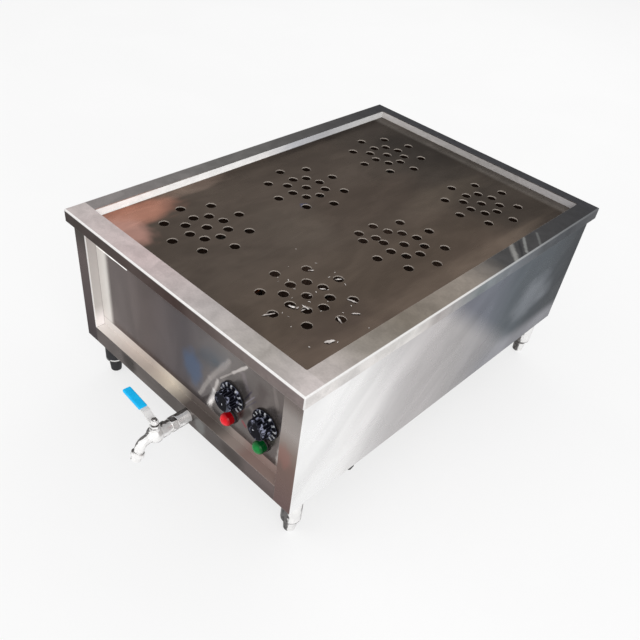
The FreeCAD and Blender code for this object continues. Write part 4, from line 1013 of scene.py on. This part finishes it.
# %% Marks on both knobs
dash_places = {"left": (0.8, -3.4), "right": (-4.2, -1.0)}
for side, (dash_x, dash_z) in dash_places.items():
    low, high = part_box("knob_" + side)
    middle = (low + high) / 2
    rear_middle = Vector((middle.x, high.y, middle.z))
    front_middle = Vector((middle.x, low.y - ink, middle.z))
    add_piece("numbers_" + side, numbers_round(rear_middle), marking, "knob_" + side)
    off_middle = Vector((dash_x, 0, dash_z))
    dash = pointer_and_glint_dash(front_middle + off_middle * MM, off_middle.normalized())
    add_piece("pointer_and_glint_" + side, dash, marking, "knob_" + side)

# %% [markdown]
# New sheet steel is sold with a thin film on it. Scraps of that film are still caught round the
# holes of the front group. Each scrap is a small grid whose outline is gnawed by noise and whose
# surface is lifted and curled, so it catches light along its ridges.

# %% Film scrap
film = moulded("film scrap", (238, 233, 229), (150, 140, 134), 0.35, 0.5, worn_and_glinting=0.0)
film_thickness = 0.12 * MM
scrap_columns, scrap_rows = 14, 8
lowest_lift = 0.25
random.seed(7)


def scrap(centre, long, wide, turn, curl):
    """Ragged curled sheet: its place on the plate, then half sizes, turn about Z and height
    of the curl. Sizes are in millimetres. It narrows towards its ends and lifts at its sides."""
    build = bmesh.new()
    seed = random.random() * 100
    grid = []
    for row in range(scrap_rows):
        line = []
        for column in range(scrap_columns):
            u = column / (scrap_columns - 1) * 2 - 1
            v = row / (scrap_rows - 1) * 2 - 1
            gnaw = 1 + 0.5 * noise.noise(Vector((u * 1.7 + seed, v * 1.3, seed)))
            x = u * long * gnaw
            y = v * wide * gnaw * (1 - 0.55 * u * u)
            crumple = 0.6 + 0.8 * noise.noise(Vector((u * 2 + seed, v * 2, 3)))
            lift = curl * (0.35 + 0.65 * v * v) * crumple
            at = Vector((x * math.cos(turn) - y * math.sin(turn),
                         x * math.sin(turn) + y * math.cos(turn),
                         lowest_lift + max(0.0, lift)))
            line.append(build.verts.new(centre + at * MM))
        grid.append(line)
    for near, far in zip(grid, grid[1:]):
        for column in range(scrap_columns - 1):
            build.faces.new((near[column], near[column + 1], far[column + 1], far[column]))
    return closed("scrap", build, smooth=True)


print("film scrap ready")

# %% [markdown]
# The large scraps are placed one by one, each with its place, half length, half width, turn and
# curl. Crumbs of film are scattered round them by a seeded random draw.

# %% Film scraps on the plate
large_scraps = [
    ((125, -334), 9.5, 1.6, 1.15, 1.6), ((134, -292), 6, 2.0, 0.4, 2.4),
    ((141, -287), 3, 1.6, 1.6, 1.6), ((149, -276), 7, 1.4, 0.1, 2.2),
    ((151, -284), 5, 1.2, 1.5, 2.2), ((203, -256), 7, 1.4, -0.35, 2.0),
    ((183, -203), 8.5, 1.5, 0.3, 1.4), ((209, -223), 6, 1.6, 0.8, 1.6),
    ((82, -196), 5, 1.1, 0.9, 1.4), ((128, -178), 6, 1.1, 1.0, 1.4),
    ((131, -218), 5, 1.1, 0.9, 1.2), ((230, -305), 8, 3.2, 1.25, 1.6)]
crumb_draws = 26
scraps = [scrap(on_plate(*at), *sizes) for at, *sizes in large_scraps]
for draw in range(crumb_draws):
    at = (random.gauss(150, 60), random.gauss(-270, 60))
    if at[0] < 250 and at[1] > -370:
        scraps.append(scrap(on_plate(*at), random.uniform(1, 2.4), random.uniform(0.4, 0.9),
                            random.uniform(0, 3), random.uniform(0.2, 0.6)))
scrap_piece = add_piece("film_scraps", joined(scraps), film, "plate")
thicken = scrap_piece.modifiers.new("thickness", "SOLIDIFY")
thicken.thickness = film_thickness
print("scraps", len(scraps))

# %% [markdown]
# The tank's corners were welded by hand. A weld bead is a row of overlapping ripples, so the
# bead is a tube along the corner whose radius swells and shrinks with each ripple.

# %% Weld beads in the tank corners
# Painted shade on the bead's faces that look away, as on all bright metal.
bead_metal = bright_metal("weld bead", (246, 244, 242), (120, 114, 110), (0.3, 0.6, -0.6), 0.3,
                          dull=0.7)
sheet_wall = 1.5 * MM
bead_radius = 0.9 * MM
bead_points, bead_levels = 10, 40


def bead(x, y, low, high):
    build = bmesh.new()
    rings = []
    for level in range(bead_levels + 1):
        share = level / bead_levels
        uneven = noise.noise(Vector((x * 90, y * 90, share * 9)))
        swell = bead_radius * (1 + 0.18 * math.sin(share * 38) + 0.15 * uneven)
        ring = []
        for point in range(bead_points):
            angle = 2 * math.pi * point / bead_points
            at = (x + swell * math.cos(angle), y + swell * math.sin(angle),
                  low + (high - low) * share)
            ring.append(build.verts.new(at))
        rings.append(ring)
    for below, above in zip(rings, rings[1:]):
        wall(build, below, above)
    build.faces.new(rings[-1])
    build.faces.new(list(reversed(rings[0])))
    return closed("bead", build, smooth=True)


beads = []
for x in (tank_low.x + sheet_wall, tank_high.x - sheet_wall):
    for y in (tank_low.y + sheet_wall, tank_high.y - sheet_wall):
        beads.append(bead(x, y, plate_high.z - 4 * MM, tank_high.z - 1 * MM))
add_piece("corner_welds", joined(beads), bead_metal, "cabinet")

# %% [markdown]
# The camera stands where the photograph was taken: to the right of the control end, well above
# it, with a lens a little longer than normal. Its axes are given directly, and its shift keeps
# the part in the picture where the photograph has it.

# %% Camera
camera_place = Vector((0.7216, -0.8916, 1.0525))
forward = Vector((-0.46753, 0.57711, -0.6696)).normalized()
upward = Vector((-0.52808, 0.42512, 0.73512)).normalized()
rightward = forward.cross(upward).normalized()
upward = rightward.cross(forward)
camera_data = bpy.data.cameras.new("camera")
camera_data.lens = 39.41
camera_data.sensor_width = 36.0
camera_data.shift_x = 0.0117
camera_data.shift_y = 0.0652
camera = show("camera", camera_data)
axes = Matrix((rightward, upward, -forward)).transposed().to_4x4()
camera.matrix_world = Matrix.Translation(camera_place) @ axes
bpy.context.scene.camera = camera
print("camera", [round(v, 3) for v in camera.matrix_world.translation])

# %% [markdown]
# The studio is a pale floor, a white world and three large soft lamps. Both the floor and the
# world look different to the camera than to soft light, so one helper tells the rays apart.

# %% Helper for rays
def seen_directly(tree):
    """1 for rays from the camera, for reflections and through glass, 0 for soft light."""
    path = add(tree, "ShaderNodeLightPath").outputs
    mirrored = calc(tree, "MAXIMUM", path["Is Glossy Ray"], path["Is Transmission Ray"])
    return calc(tree, "MAXIMUM", path["Is Camera Ray"], mirrored)


print("ray helper ready")

# %% [markdown]
# The floor is partly a real surface, which keeps the shadow, and partly plain white light, which
# keeps it as pale as the world behind it.

# %% Floor
floor_half = 6.0
floor_mesh = bpy.data.meshes.new("floor")
floor_corners = [(-floor_half, -floor_half, 0), (floor_half, -floor_half, 0),
                 (floor_half, floor_half, 0), (-floor_half, floor_half, 0)]
floor_mesh.from_pydata(floor_corners, [], [(0, 1, 2, 3)])
floor = show("floor", floor_mesh)
ground = Finish("pale floor", (243, 243, 243))
ground.lay(ground.cloud((2, 2, 2)), (240, 240, 240))
ground.feed("Base Color", ground.colour)
ground.fix("Roughness", 0.9)
white = add(ground.tree, "ShaderNodeEmission", None, {"Color": (1, 1, 1, 1), "Strength": 1.0})
glossy_ray = add(ground.tree, "ShaderNodeLightPath").outputs["Is Glossy Ray"]
whiteness = calc(ground.tree, "ADD", ground.both(glossy_ray, 0.2), 0.7)
share = ground.both(seen_directly(ground.tree), whiteness)
blend = add(ground.tree, "ShaderNodeMixShader", None,
            {0: share, 1: ground.shader.outputs[0], 2: white.outputs[0]})
ground.tree.links.new(blend.outputs[0], ground.surface.inputs[0])
floor_mesh.materials.append(ground.material)
print("floor", 2 * floor_half, "m wide")

# %% [markdown]
# The world is white for the camera and for reflections, and lower as a light, so that pale
# surfaces keep their tone.

# %% World
ambient = 0.75
world = bpy.data.worlds.new("studio")
bpy.context.scene.world = world
world.use_nodes = True
studio = world.node_tree
studio.nodes.clear()
extra = calc(studio, "MULTIPLY", seen_directly(studio), 1.0 - ambient)
strength = calc(studio, "ADD", extra, ambient)
background = add(studio, "ShaderNodeBackground", None,
                 {"Color": (1, 1, 1, 1), "Strength": strength})
surface = add(studio, "ShaderNodeOutputWorld")
studio.links.new(background.outputs[0], surface.inputs[0])
bpy.context.scene.view_settings.view_transform = "Standard"
print("ambient light", ambient)

# %% [markdown]
# The lamps are large, so that the metal shows broad gradients and no hard spots. The fill and
# rear lamps are left out of reflections, where they would lay more bright patches on the steel.

# %% Lamps
def soft_lamp(name, position, size, power, mirrored=True):
    data = bpy.data.lights.new(name, "AREA")
    data.shape = "SQUARE"
    data.size = size
    data.energy = power
    lamp = show(name, data)
    lamp.location = position
    aim = Vector((0, 0, 0.25)) - Vector(position)
    lamp.rotation_euler = aim.to_track_quat("-Z", "Y").to_euler()
    lamp.visible_glossy = mirrored
    print(name, "at", position)


soft_lamp("key lamp", (2.4, -1.6, 2.0), 2.0, 32)
soft_lamp("fill lamp", (-1.8, -2.4, 2.2), 2.4, 14, mirrored=False)
soft_lamp("rear lamp", (-0.6, 2.6, 2.4), 2.4, 16, mirrored=False)
